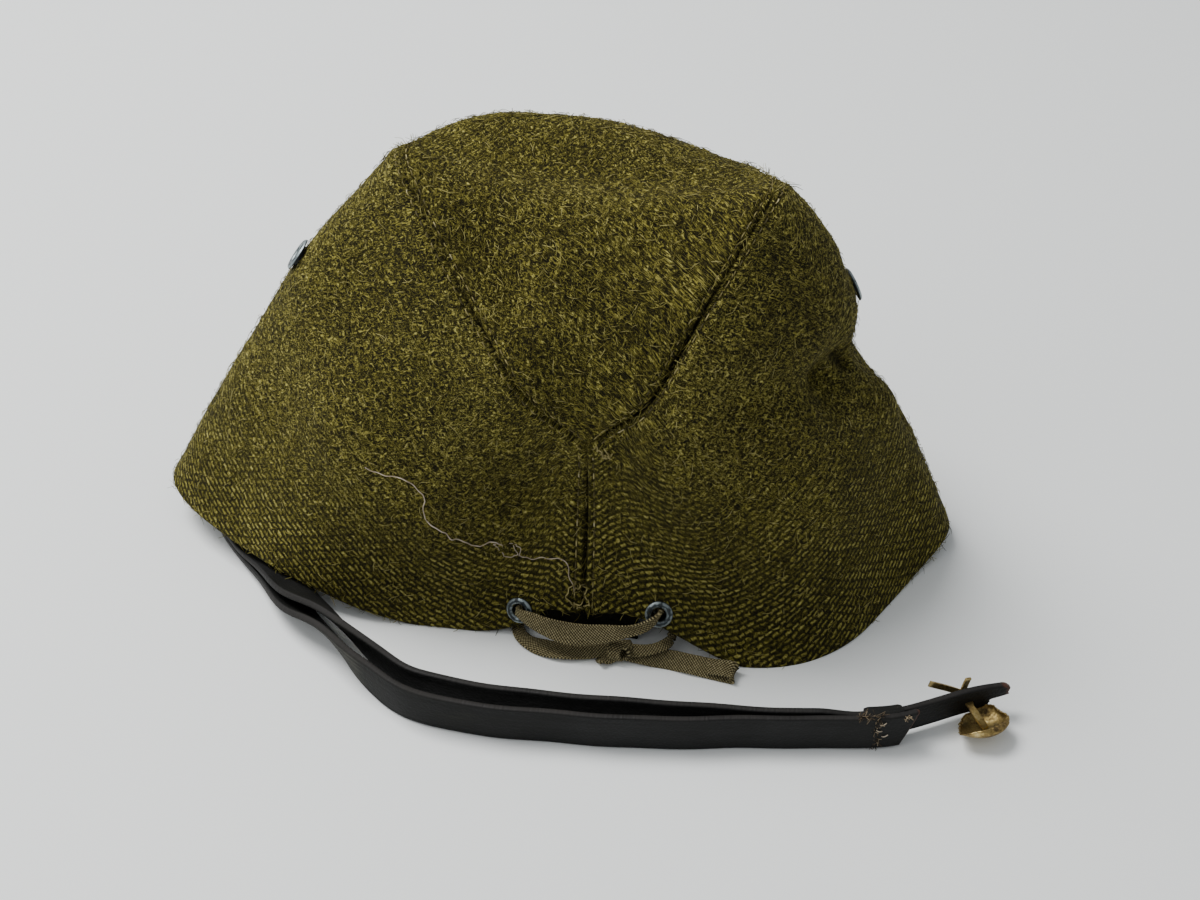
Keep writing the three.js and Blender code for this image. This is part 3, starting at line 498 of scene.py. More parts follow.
def cloth_panel(panel, columns, rows):
    low = top_tip_station if panel == "top" else 0
    u = low + dense_at_ends(columns) * (last_station - 2 * low)
    v = dense_at_ends(rows)
    station, across = np.meshgrid(u, v, indexing="ij")
    smooth = panel_point(panel, station, across)
    normal = panel_normal(panel, station, across)
    along = length_along(smooth, 0)
    up = length_along(smooth, 1)
    from_back, from_front = along, along[-1:] - along
    from_foot, from_top = up, up[:, -1:] - up
    sink = 0.3 * soft_unevenness(smooth, rng)
    if panel == "top":
        seams = [(from_foot, along, "crown"), (from_top, along, "crown")]
        rounding = np.zeros_like(sink)
        worn = np.full(sink.shape, 0.35)
    else:
        seams = [(from_top, along, "crown"), (from_back, up, "back"), (from_front, up, "back")]
        near = np.clip(1 - from_foot / hem_radius, 0, 1)
        rounding = hem_radius * (1 - np.sqrt(1 - near ** 2))
        reach = 75 if panel == "right" else 48
        worn = 0.25 + np.clip(1 - from_foot / reach, 0, 1) * 1.1
    allowance = np.zeros_like(sink)
    # crevice is a painted shade mask for the colour: shade in the seam crevices and beside the stitch
    # rows, with some dirt in the seams.
    crevice = np.zeros_like(sink)
    for away, way, kind in seams:
        sink += seam_profile(away, way, stitch_away[kind])
        allowance = np.maximum(allowance, 1.6 * np.exp(-(away / 3.5) ** 4))
        crevice = np.maximum(crevice, np.exp(-(away / 0.55) ** 2))
        crevice = np.maximum(crevice, 0.35 * np.exp(-((away - stitch_away[kind]) / 0.5) ** 2))
    # The foot of the hem is painted darker: painted shade under the rolled hem.
    if panel != "top":
        crevice = np.maximum(crevice, 0.5 * np.exp(-(from_foot / 0.8) ** 2))
    if panel == "right":
        # The pinch in the outline closes on a small deep crease, which is also painted dark as painted
        # shade.
        line_start, line_end = crease_line
        part = np.clip(dot(smooth - line_start, line_end - line_start)
                       / np.dot(line_end - line_start, line_end - line_start), 0, 1)
        close = np.exp(-(np.linalg.norm(smooth - line_start - (line_end - line_start) * part,
                                        axis=-1) / crease_spread) ** 2)
        smooth = smooth - normal * (crease_depth * close)[..., None]
        crevice = np.maximum(crevice, 0.9 * close ** 1.5)
    sink = np.maximum(sink, -crevice_depth)
    outer = on_table(smooth + normal * (sink - rounding)[..., None])
    inner = on_table(smooth - normal * (cloth_thickness + allowance - rounding)[..., None])
    if panel != "top":
        level = unit(normal * np.array([1, 1, 0]))[:, 0]
        outer[:, 0] = smooth[:, 0] - level * hem_radius
        inner[:, 0] = smooth[:, 0] - level * (cloth_thickness - hem_radius)
    uv = np.stack([along, up], -1) * 0.01
    return make_piece(
        f"{panel}_panel_cloth",
        np.concatenate([outer.reshape(-1, 3), inner.reshape(-1, 3)]),
        sheet_faces(columns, rows),
        wool,
        uv=np.concatenate([uv.reshape(-1, 2), uv.reshape(-1, 2)]),
        attributes={
            "worn": np.concatenate([worn.ravel(), worn.ravel()]),
            "crevice": np.concatenate([crevice.ravel(), crevice.ravel()]),
        },
    )


panels = {
    "left": cloth_panel("left", 260, 130),
    "right": cloth_panel("right", 260, 130),
    "top": cloth_panel("top", 170, 120),
}
for name, piece in panels.items():
    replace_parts(piece, f"{name}_panel")

# Eyelet holes: two punched high on the sides for air, two at the notch for the lace, and a
# small one at the left for the legs of the strap button. They go through the whole cloth.
eyelet_places = {
    "vent_eyelet_left": ("left", 6, 0.675),
    "vent_eyelet_right": ("right", 6.15, 0.705),
    "lace_eyelet_left": ("left", 1.85, 0.07),
    "lace_eyelet_right": ("right", 1.2, 0.06),
}
strap_button_place = ("left", 7.3, 0.17)
punched_radius = {"vent": 3.0, "lace": 2.5, "strap": 1.7}


def placed(points):
    """Points of the part in millimetres, put in the scene's metres."""
    return (np.asarray(points, float) - cap_middle_on_table) * mm


def cloth_spot(place):
    """The point of the cloth's outside at a place, and the way out of it."""
    side, station, height = place
    return wall_point(side, np.array(station), np.array(height)), panel_normal(side, station, height)


for side in ("left", "right"):
    punches = []
    for name, place in {**eyelet_places, "strap_button": strap_button_place}.items():
        if place[0] == side:
            middle, out = cloth_spot(place)
            bpy.ops.object.select_all(action="DESELECT")
            bpy.ops.mesh.primitive_cylinder_add(
                vertices=32,
                radius=punched_radius[name.split("_")[0]] * mm,
                depth=14 * mm,
                location=placed(middle),
                rotation=Vector(out).to_track_quat("Z", "Y").to_euler(),
            )
            punches.append(bpy.context.object)
    bpy.ops.object.select_all(action="DESELECT")
    for punch in punches:
        punch.select_set(True)
    bpy.context.view_layer.objects.active = punches[0]
    bpy.ops.object.join()
    cutter = bpy.context.object
    hole = panels[side].modifiers.new("punched holes", "BOOLEAN")
    hole.operation = "DIFFERENCE"
    hole.solver = "EXACT"
    hole.object = cutter
    bpy.ops.object.select_all(action="DESELECT")
    panels[side].select_set(True)
    bpy.context.view_layer.objects.active = panels[side]
    bpy.ops.object.modifier_apply(modifier=hole.name)
    bpy.data.objects.remove(cutter)

# Peak: a short stiff crescent of board covered with the same wool, sewn under the front of the
# hem. It arches a little across, and three rows of stitches run round it near its edge.
peak_reach, peak_end_reach, peak_half_span, peak_half_thickness = 46, 4, 2.5, 1.3


def peak_cloth(columns=120, rows=56):
    across, out = np.meshgrid(2 * dense_at_ends(columns) - 1, dense_at_ends(rows), indexing="ij")
    along = last_station + across * peak_half_span
    outward = hem_outward(along)
    ahead = unit(outward * np.array([0.35, 0.35, 0]) + np.array([0, 0.65, 0]))
    reach = peak_end_reach + (peak_reach - peak_end_reach) * np.maximum(
        1 - np.abs(across) ** 2.4, 0) ** 0.6
    start = hem_point(along) + outward * 0.4
    arch = (1 - across ** 2) * (2.5 + 2.5 * np.sin(math.pi * out))
    flat = start + ahead * (reach * out)[..., None]
    flat[..., 2] = arch + peak_half_thickness
    wide, deep = length_along(flat, 0), length_along(flat, 1)
    from_edge = np.minimum.reduce([deep, deep[:, -1:] - deep, wide, wide[-1:] - wide])
    near = np.clip(1 - from_edge / peak_half_thickness, 0, 1)
    half = peak_half_thickness * np.sqrt(np.maximum(1 - near ** 2, 0))
    rows_sunk = sum(
        np.exp(-((deep[:, -1:] - deep - away) / 0.45) ** 2) for away in (3.5, 8, 12.5)
    )
    upper, lower = flat.copy(), flat.copy()
    upper[..., 2] += half - 0.28 * rows_sunk * np.clip(from_edge / 2, 0, 1)
    lower[..., 2] -= half
    flat_map = np.stack([wide, deep], -1).reshape(-1, 2) * 0.01
    return make_piece(
        "peak_cloth",
        np.concatenate([upper.reshape(-1, 3), lower.reshape(-1, 3)]),
        sheet_faces(columns, rows),
        wool,
        uv=np.concatenate([flat_map, flat_map]),
        attributes={"worn": np.full(2 * columns * rows, 0.4), "crevice": np.zeros(2 * columns * rows)},
    )


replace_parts(peak_cloth(), "peak")

# Lining: dark cotton inside the cap. Only its lower edge is made, which shows in the shade behind
# the notch, where it hangs down to the table. Its near-black colour is painted shade: it stands in
# for the shadow inside the cap behind the notch.
shade_lining_cotton, tree, shader = new_material("lining cotton as painted shade")
here = add_node(tree, "TexCoord").outputs["Object"]
threads = add_node(tree, "TexNoise", {"Vector": here, "Scale": 700.0, "Detail": 3.0})
# Painted shade: near-black threads, for the shadow inside the cap behind the notch.
colour = add_node(tree, "ValToRGB", {0: threads.outputs["Fac"]}, steps=[
    (0.3, "#0B0A07"), (0.7, "#1D1A12"),
]).outputs[0]
tree.links.new(colour, shader.inputs["Base Color"])
shader.inputs["Roughness"].default_value = 0.95
shader.inputs["Specular IOR Level"].default_value = 0.1


def shade_lining_edge(columns=70, rows=16):
    along, up = np.meshgrid(np.linspace(-1.35, 0.9, columns), np.linspace(0, 1, rows), indexing="ij")
    foot, outward = hem_point(along), hem_outward(along)
    outer = foot - outward * (3.4 + 0.3 * np.sin(9 * along))[..., None]
    outer[..., 2] = 0.3 + (foot[..., 2] + 5) * up
    inner = outer - outward * 0.7
    return make_piece("shade_lining_edge", np.concatenate([outer.reshape(-1, 3), inner.reshape(-1, 3)]),
                      sheet_faces(columns, rows), shade_lining_cotton)


shade_lining_edge()

# Eyelets: drawn brass rings, rolled over on the outside and closed on a washer inside. They are
# painted a dark blue-green that is rubbed through to grey metal on the rolled rims.
eyelet_paint, tree, shader = new_material("worn blue-green paint on brass")
here = add_node(tree, "TexCoord").outputs["Object"]
scratches = add_node(tree, "TexNoise", {"Vector": here, "Scale": 900.0, "Detail": 5.0})
rim = add_node(tree, "Attribute", attribute_name="rim").outputs["Fac"]
rubbed = add_node(tree, "Math", {0: rim, 1: scratches.outputs["Fac"]}, operation="MULTIPLY")
bare = add_node(tree, "MapRange", {0: rubbed.outputs[0], 1: 0.3, 2: 0.5}).outputs[0]
colour = add_node(tree, "ValToRGB", {0: bare}, steps=[
    (0.0, "#161D1F"), (0.45, "#3A4347"), (1.0, "#8F9899"),
]).outputs[0]
tree.links.new(colour, shader.inputs["Base Color"])
tree.links.new(bare, shader.inputs["Metallic"])
dulled = add_node(tree, "MapRange", {0: scratches.outputs["Fac"], 3: 0.35, 4: 0.6})
tree.links.new(dulled.outputs[0], shader.inputs["Roughness"])
bump = add_node(tree, "Bump",
                {"Height": scratches.outputs["Fac"], "Strength": 0.3, "Distance": 0.1 * mm})
tree.links.new(bump.outputs["Normal"], shader.inputs["Normal"])


def turned_ring(name, profile, place, out, material, steps=56, attributes=None):
    """A ring spun from its profile of (radius, height) round the way out of the cloth."""
    mesh = bpy.data.meshes.new(name)
    mesh.from_pydata([(r * mm, 0, h * mm) for r, h in profile],
                     [(i, (i + 1) % len(profile)) for i in range(len(profile))], [])
    ring = bpy.data.objects.new(name, mesh)
    bpy.context.scene.collection.objects.link(ring)
    bpy.ops.object.select_all(action="DESELECT")
    ring.select_set(True)
    bpy.context.view_layer.objects.active = ring
    bpy.ops.object.mode_set(mode="EDIT")
    bpy.ops.mesh.select_all(action="SELECT")
    bpy.ops.mesh.spin(steps=steps, angle=2 * math.pi, center=(0, 0, 0), axis=(0, 0, 1))
    bpy.ops.mesh.select_all(action="SELECT")
    bpy.ops.mesh.remove_doubles(threshold=0.001 * mm)
    bpy.ops.mesh.normals_make_consistent(inside=False)
    bpy.ops.object.mode_set(mode="OBJECT")
    for key, value in (attributes or {}).items():
        values = [value(math.hypot(v.co.x, v.co.y) / mm, v.co.z / mm) for v in ring.data.vertices]
        ring.data.attributes.new(key, "FLOAT", "POINT").data.foreach_set("value", values)
    turn = Vector(out).to_track_quat("Z", "Y").to_matrix().to_4x4()
    ring.data.transform(Matrix.Translation(placed(place)) @ turn)
    ring.data.polygons.foreach_set("use_smooth", [True] * len(ring.data.polygons))
    ring.data.materials.append(material)
    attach(ring, "root")
    return ring


def arc(middle, radius, start, end, count):
    """Points on a round corner of a profile, from one angle to another, in degrees."""
    angles = np.radians(np.linspace(start, end, count))
    return [(middle[0] + radius * math.cos(a), middle[1] + radius * math.sin(a)) for a in angles]


eyelet_sizes = {
    "vent": {"bore": 2.4, "barrel": 2.8, "flange": 4.5, "washer": 3.9, "play": 0.6, "back": 1.2},
    "lace": {"bore": 1.9, "barrel": 2.3, "flange": 3.7, "washer": 3.1, "play": 0.7, "back": 0.9},
}
for name, place in eyelet_places.items():
    size = eyelet_sizes[name.split("_")[0]]
    under = -cloth_thickness - size["back"]
    roll = (size["flange"] - size["bore"]) / 2
    profile = [
        *[(x, size["play"] - 0.2 + (y - size["play"] + 0.2) * 0.8)
          for x, y in arc((size["bore"] + roll, size["play"] - 0.2), roll, 180, 0, 17)],
        (size["flange"] - 0.35, size["play"] - 0.25),
        (size["barrel"] + 0.35, size["play"] + 0.2),
        (size["barrel"], size["play"] - 0.3),
        (size["barrel"], under + 0.1),
        *arc((size["washer"] - 0.3, under - 0.3), 0.3, 90, -90, 6),
        (size["bore"] + 0.2, under - 0.6),
        (size["bore"], under - 0.4),
    ]
    middle, out = cloth_spot(place)
    rim_middle, rim_height = size["bore"] + roll, size["play"]
    worn_rim = lambda r, h: float(h > rim_height) * (0.55 + 0.75 * abs(r - rim_middle) / roll)
    ring = turned_ring(f"{name}_ring", profile, middle, out, eyelet_paint,
                       attributes={"rim": worn_rim})
    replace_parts(ring, name)

# Chin strap: two long strips of black leather, each folded at one end into a keeper that slides
# on the other. The outer one is buttoned at the left, and both run under the rim and over the
# table to where the inner one is torn through at its button.
strap_thickness, strap_width, tab_width = 1.8, 11.0, 8.2
keeper_length, keeper_wall, keeper_play, least_space = 10.0, 1.3, 0.5, 0.5
sewn_line = 8.5
strap_rows = np.array([
    [-96, 14, 2.1, -0.95, -0.3, 0, 0.6], [-97, 3, 2.1, -1, 0, 0, 0.6],
    [-96, -6, 1.4, -0.93, -0.35, 0.05, 0.6], [-91.4, -14.2, 0.7, -0.75, -0.66, 0.08, 0.6],
    [-85.6, -21.2, 0.3, -0.71, -0.68, 0.14, 0.7], [-78.6, -29.6, 0.35, -0.7, -0.64, 0.24, 1],
    [-70.9, -40.8, 0.5, -0.64, -0.52, 0.52, 1.5], [-61.2, -49.4, 0.6, -0.4, -0.36, 0.84, 2.3],
    [-51.6, -58.8, 0.4, -0.17, -0.18, 0.97, 3.4], [-44, -65.4, 0.15, -0.03, -0.03, 1, 4],
    [-36, -70.6, 0.15, 0, 0, 1, 4.2], [-24, -73.8, 0.15, 0, 0, 1, 4.6],
    [-11, -75.2, 0.15, 0, 0, 1, 4.8], [4, -75.7, 0.15, 0, 0, 1, 4.6],
    [20, -75.8, 0.15, 0, 0, 1, 3.8], [36, -75.3, 0.15, 0, 0, 1, 2.6],
    [52, -74.4, 0.15, 0, 0, 1, 1.5], [66, -73.5, 0.15, 0, 0, 1, 0.9],
    [78, -72.4, 0.45, 0, 0, 1, 0.65], [88, -70.6, 0.6, 0, 0, 1, 0.65],
    [97.5, -66, 0.6, 0, 0, 1, 0.65], [107.5, -61.4, 0.6, 0.05, 0, 1, 0.65],
    [116.5, -58.7, 0.4, 0.1, 0, 1, 0.65],
])


def strap_route():
    """Rows of the middle of the strap, the way its width points and the space between leathers."""
    side, station, height = strap_button_place
    outward = hem_outward(np.array(loop_place(side, station)))
    rim_place = hem_point(np.array(loop_place(side, station)))
    sideways = np.array([-outward[1], outward[0], 0])
    climb = []
    for up, lift in ((0.05, 0.7), (0, 0.7), (-0.08, 1.3)):
        middle, out = cloth_spot((side, station, height + up))
        climb.append(middle + out * lift)
    climb.append(np.array([*(rim_place + outward * 3.6)[:2], 5.5]))
    climb.append(np.array([*(rim_place - outward * 3.6)[:2], 2.4]))
    rows = [[*middle, *sideways, least_space] for middle in climb]
    for x, y, lift, wx, wy, wz, space in strap_rows:
        width = unit(np.array([wx, wy, wz]))
        flatness = math.sqrt(max(1 - width[2] ** 2, 0))
        z = lift + width[2] * strap_width / 2 + flatness * (space / 2 + strap_thickness)
        rows.append([x, y, z, wx, wy, wz, space])
    return np.array(rows)


route = strap_route()
route_curve = smooth_curve(route)
climb_rows = len(route) - len(strap_rows)
outer_end, inner_start, inner_end = climb_rows + 19.2, climb_rows + 0.4, len(route) - 1
taper_from, taper_to = climb_rows + 17.1, climb_rows + 18


def strap_frame(at):
    """The strap's middle, its way along, its width and its face at places on the route."""
    at = np.asarray(at, float)
    values = route_curve(at)
    way = unit(route_curve(at + 0.01)[..., :3] - route_curve(at - 0.01)[..., :3])
    width = values[..., 3:6]
    width = unit(width - way * dot(width, way))
    return values[..., :3], way, width, np.cross(way, width), values[..., 6]


def leather_middle(at, layer):
    """The middle of one leather: the outer layer is 1, and the inner one is -1."""
    middle, way, width, face, space = strap_frame(at)
    shift = layer * (strap_thickness + np.maximum(space, least_space)) / 2
    return middle + face * shift[..., None], way, width, face


def strip_section(across=14, corner=5):
    """Places round a flat strip's section: shares of its half sizes, and the round of its corners."""
    rows = []
    for x, y, start in ((1, 1, 0), (-1, 1, 90), (-1, -1, 180), (1, -1, 270)):
        for k in range(corner):
            angle = math.radians(start + 90 * k / (corner - 1))
            rows.append((x, y, math.cos(angle), math.sin(angle)))
        if start in (0, 180):
            rows += [(x * (1 - 2 * k / across), y, 0, y) for k in range(1, across)]
    return np.array(rows)


def strip_rings(middle, width, face, wide, thick, rounding, shape=None):
    """Rings of a flat strip with rounded edges, and each point's place across it."""
    section = strip_section()
    wide, thick = np.broadcast_to(wide, len(middle)), np.broadcast_to(thick, len(middle))
    x = section[:, 0] * (wide / 2 - rounding)[:, None] + section[:, 2] * rounding
    y = section[:, 1] * (thick / 2 - rounding)[:, None] + section[:, 3] * rounding
    if shape is not None:
        y = y + shape(x / (wide[:, None] / 2), np.sign(section[:, 1]))
    return middle[:, None] + width[:, None] * x[..., None] + face[:, None] * y[..., None], x


def ring_faces(count, sides, start=0, closed=False, capped=True):
    """Faces between rings, with the two end rings closed from side to side."""
    at = np.arange(count * sides).reshape(count, sides) + start
    after = np.roll(at, -1, axis=1)
    pairs = [(k, (k + 1) % count) for k in range(count if closed else count - 1)]
    faces = [list(q) for a, b in pairs for q in zip(at[a], after[a], after[b], at[b])]
    if capped and not closed:
        for end in (at[0], at[-1]):
            for i in range(sides // 2 - 1):
                faces.append([end[i], end[i + 1], end[sides - 2 - i], end[sides - 1 - i]])
    return [[int(i) for i in face] for face in faces]


# Strap leather: black dyed bridle leather, dried out. Its grain is fine, it is scuffed grey in streaks
# along its length, and its cut edges are rubbed browner. Where the outer strap turns away from the cap,
# its face is painted lighter: a painted sheen.
strap_leather, tree, shader = new_material("dry black strap leather")
laid = add_node(tree, "UVMap", uv_map="cloth").outputs["UV"]
millimetres = add_node(tree, "VectorMath", {0: laid, 1: (100, 100, 100)},
                       operation="MULTIPLY").outputs[0]
drawn = add_node(tree, "VectorMath", {0: millimetres, 1: (0.05, 1.3, 1)},
                 operation="MULTIPLY").outputs[0]
streaks = add_node(tree, "TexNoise", {"Vector": drawn, "Scale": 1.0, "Detail": 5.0,
                                                "Roughness": 0.65})
patches = add_node(tree, "TexNoise", {"Vector": millimetres, "Scale": 0.07, "Detail": 2.0})
scuffed = add_node(tree, "Math", {0: streaks.outputs["Fac"], 1: patches.outputs["Fac"]},
                   operation="MULTIPLY").outputs[0]
# The scuffing along the strap and the painted sheen at its turn both lighten the colour here.
scuff_and_sheen = add_node(tree, "Attribute", attribute_name="scuff_and_sheen").outputs["Fac"]
wear_and_sheen = add_node(tree, "Math", {0: scuff_and_sheen, 1: 0.2, 2: scuffed}, operation="MULTIPLY_ADD")
colour = add_node(tree, "ValToRGB", {0: wear_and_sheen.outputs[0]}, steps=[
    (0.2, "#070706"), (0.36, "#0E0E0C"), (0.5, "#1E1E1A"), (0.66, "#4E4C42"),
]).outputs[0]
edge = add_node(tree, "Attribute", attribute_name="edge").outputs["Fac"]
rubbed = add_node(tree, "Math", {0: edge, 1: patches.outputs["Fac"]}, operation="MULTIPLY")
tinted = add_node(tree, "Mix", {0: rubbed.outputs[0], 6: colour, 7: linear("#2B2826")},
                  data_type="RGBA")
raw_end = add_node(tree, "Attribute", attribute_name="raw").outputs["Fac"]
inside = add_node(tree, "Mix", {0: raw_end, 6: tinted.outputs[2], 7: linear("#4A2E22")},
                  data_type="RGBA")
tree.links.new(inside.outputs[2], shader.inputs["Base Color"])
grain = add_node(tree, "TexVoronoi", {"Vector": millimetres, "Scale": 1.6})
cracks = add_node(tree, "TexNoise", {"Vector": millimetres, "Scale": 0.9, "Detail": 6.0})
height = add_node(tree, "Math", {0: streaks.outputs["Fac"], 1: 0.8,
                                           2: grain.outputs["Distance"]}, operation="MULTIPLY_ADD")
height = add_node(tree, "Math", {0: height.outputs[0], 1: cracks.outputs["Fac"]},
                  operation="ADD")
bump = add_node(tree, "Bump", {"Height": height.outputs[0], "Strength": 0.35,
                                         "Distance": 0.25 * mm})
tree.links.new(bump.outputs["Normal"], shader.inputs["Normal"])
gloss = add_node(tree, "MapRange", {0: wear_and_sheen.outputs[0], 1: 0.15, 2: 0.5, 3: 0.55, 4: 0.8})
tree.links.new(gloss.outputs[0], shader.inputs["Roughness"])
shader.inputs["IOR"].default_value = 1.5
shader.inputs["Specular IOR Level"].default_value = 0.25


def leather_strip(name, at, layer, wide, bite=None, slant=0.0):
    """A strip of leather along the route, with its far end shaped by a slant or a torn bite."""
    middle, way, width, face = leather_middle(at, layer)
    along = np.concatenate([[0], np.cumsum(np.linalg.norm(np.diff(middle, axis=0), axis=1))])
    to_end = along[-1] - along
    wide = wide - 0.5 * np.exp(-(to_end / 0.3) ** 2) - 0.5 * np.exp(-(along / 0.3) ** 2)
    thick = strap_thickness - 0.5 * np.exp(-(to_end / 0.3) ** 2) - 0.5 * np.exp(-(along / 0.3) ** 2)

    def creases(x, up):
        line = np.exp(-((np.abs(x) - 0.74) / 0.05) ** 2) * 0.16
        swell = 0.1 * (1 - x ** 2)
        off_line = (to_end[:, None] - sewn_line - 0.5 * np.sin(4 * x) - 0.2 * np.sin(11 * x)) / 0.45
        sewn = 0.55 * np.exp(-off_line ** 2) * (0.75 + 0.25 * np.sin(9 * x)) * (up > 0)
        return -up * (line - swell) * (np.abs(x) < 0.96) - sewn * (layer > 0)

    rings, x = strip_rings(middle, width, face, wide, thick, 0.55, creases)
    ripple = 0.22 * np.sin(along / 9.1 + 1.3 * layer) + 0.13 * np.sin(along / 3.7)
    rings = rings + face[:, None] * (ripple * np.clip(to_end / 20, 0, 1))[:, None, None]
    near = np.clip(1 - to_end / 7, 0, 1) ** 1.5
    shift = near[:, None] * slant * x
    if bite is not None:
        shift = shift - near[:, None] * bite(x)
    rings = rings + way[:, None] * shift[..., None]
    section = strip_section()
    sides = len(section)
    edge = np.broadcast_to(np.abs(section[:, 2]) ** 2, x.shape)
    # The leather is scuffed in streaks along its length, and where it turns away from the cap it is
    # painted lighter as a painted sheen.
    turn = 0.75 * np.exp(-((at - climb_rows - 7.6) / 1.4) ** 2)
    scuff_and_sheen = np.broadcast_to((0.15 + 0.2 * np.sin(along / 23 + layer) + turn)[:, None], x.shape)
    raw = np.broadcast_to(np.exp(-(to_end / (0.35 if bite is None else 0.8)) ** 2)[:, None], x.shape)
    uv = np.stack([np.broadcast_to(along[:, None], x.shape), x + 20 * layer], -1) * 0.01
    return make_piece(
        name, rings.reshape(-1, 3), ring_faces(len(at), sides), strap_leather,
        uv=uv, attributes={"edge": edge, "scuff_and_sheen": scuff_and_sheen, "raw": raw},
    )


def keeper_sleeve(name, at, layer, wrapped_width):
    """The folded end that wraps the other leather: a short flat sleeve with a hollow."""
    reach = np.linalg.norm(strap_frame(at + 0.5)[0] - strap_frame(at - 0.5)[0])
    half = keeper_length / reach / 2
    ends = np.linspace(-1, 1, 13)
    places = at + half * ends
    middle, way, width, face = leather_middle(places, layer)
    hollow_wide = wrapped_width + 0.8 * keeper_play
    hollow_thick = strap_thickness + 0.8 * keeper_play
    worn_wall = 0.5 * keeper_wall
    inset = 0.25 * np.abs(ends) ** 12
    rings = []
    for wall in (worn_wall, 0.0):
        slack = 2 * (wall - inset if wall else inset)
        part, _ = strip_rings(middle, width, face, hollow_wide + slack, hollow_thick + slack,
                              0.9 if wall else 0.4)
        rings.append(part if wall else part[::-1])
    rings = np.concatenate(rings)
    sides = rings.shape[1]
    around = np.linspace(0, 30, sides)
    along = np.concatenate([ends, ends[::-1]]) * keeper_length / 2
    uv = np.stack(np.broadcast_arrays(around[None], along[:, None] + 40), -1) * 0.01
    edge = np.broadcast_to(np.abs(np.concatenate([ends, ends[::-1]]))[:, None] ** 10, rings.shape[:2])
    return make_piece(
        name, rings.reshape(-1, 3), ring_faces(len(rings), sides, closed=True, capped=False),
        strap_leather, uv=uv, attributes={"edge": edge, "scuff_and_sheen": np.full(rings.shape[:2], 0.6)},
    )


def smooth_step(value, low, high):
    t = np.clip((value - low) / (high - low), 0, 1)
    return t * t * (3 - 2 * t)


def strap_places(start, end, count):
    """Places on the route, closer together at both ends."""
    return start + dense_at_ends(count, 0.9) * (end - start)


tear_bumps = np.random.default_rng(3).normal(size=(6, 3))


def torn(x):
    """How far the torn end is eaten back: a finger is left above, and its lower half is lost."""
    ragged = sum(0.16 * np.sin(a * 3 * x + b * 5) for a, b, _ in tear_bumps)
    finger = 2.4 * np.clip(x / (tab_width / 2), 0, 1) ** 5
    lost = 5.4 * (1 - smooth_step(x, -0.4, 1.0)) + 2.2 * np.clip(-x / (tab_width / 2), 0, 1) ** 2
    return lost + finger + ragged


at = strap_places(0, outer_end, 420)
outer_wide = strap_width * (0.6 + 0.4 * smooth_step(at, 0, 0.7))
outer_leather = leather_strip("strap_outer_leather", at, 1, outer_wide, slant=0.42)
keeper_sleeve("strap_outer_keeper", outer_end - 0.6, -1, tab_width)
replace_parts(outer_leather, "strap_outer")
at = strap_places(inner_start, inner_end, 400)
inner_wide = strap_width + (tab_width - strap_width) * smooth_step(at, taper_from, taper_to)
inner_leather = leather_strip("strap_inner_leather", at, -1, inner_wide, bite=torn)
keeper_sleeve("strap_inner_keeper", inner_start + 0.45, 1, strap_width)
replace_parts(inner_leather, "strap_inner")

# Buttons: domed caps pressed from thin sheet brass, each held by two flat legs that spread like a
# split pin. The right one is torn off: its dented bowl hangs by its legs, with a ragged rim.
button_radius, button_height, button_wall = 6.8, 3.4, 0.45
leg_width, leg_thickness = 1.6, 0.7
brass, tree, shader = new_material("tarnished sheet brass")
here = add_node(tree, "TexCoord").outputs["Object"]
tarnish = add_node(tree, "TexNoise", {"Vector": here, "Scale": 260.0, "Detail": 5.0,
                                                "Roughness": 0.65})
pits = add_node(tree, "TexNoise", {"Vector": here, "Scale": 1400.0, "Detail": 3.0})
mixed = add_node(tree, "Math", {0: pits.outputs["Fac"], 1: 0.35, 2: tarnish.outputs["Fac"]},
                 operation="MULTIPLY_ADD").outputs[0]
colour = add_node(tree, "ValToRGB", {0: mixed}, steps=[
    (0.5, "#4A3A20"), (0.62, "#857145"), (0.72, "#A8925C"), (0.85, "#C9B582"),
]).outputs[0]
tree.links.new(colour, shader.inputs["Base Color"])
polish = add_node(tree, "MapRange", {0: mixed, 1: 0.5, 2: 0.85, 3: 0.65, 4: 0.32})
tree.links.new(polish.outputs[0], shader.inputs["Roughness"])
metal = add_node(tree, "MapRange", {0: mixed, 1: 0.45, 2: 0.65, 3: 0.55, 4: 1.0})
tree.links.new(metal.outputs[0], shader.inputs["Metallic"])
bump = add_node(tree, "Bump", {"Height": mixed, "Strength": 0.5, "Distance": 0.2 * mm})
tree.links.new(bump.outputs["Normal"], shader.inputs["Normal"])


def flat_leg(name, rows, width, count=40):
    """One flat brass leg through rows of places, with its width pointing one way."""
    places = smooth_curve(rows)(np.linspace(0, len(rows) - 1, count))
    way = unit(np.gradient(places, axis=0))
    across = unit(width - way * dot(np.broadcast_to(width, way.shape), way))
    face = np.cross(way, across)
    rings, x = strip_rings(places, across, face, leg_width, leg_thickness, 0.15)
    return make_piece(name, rings.reshape(-1, 3), ring_faces(count, rings.shape[1]), brass)


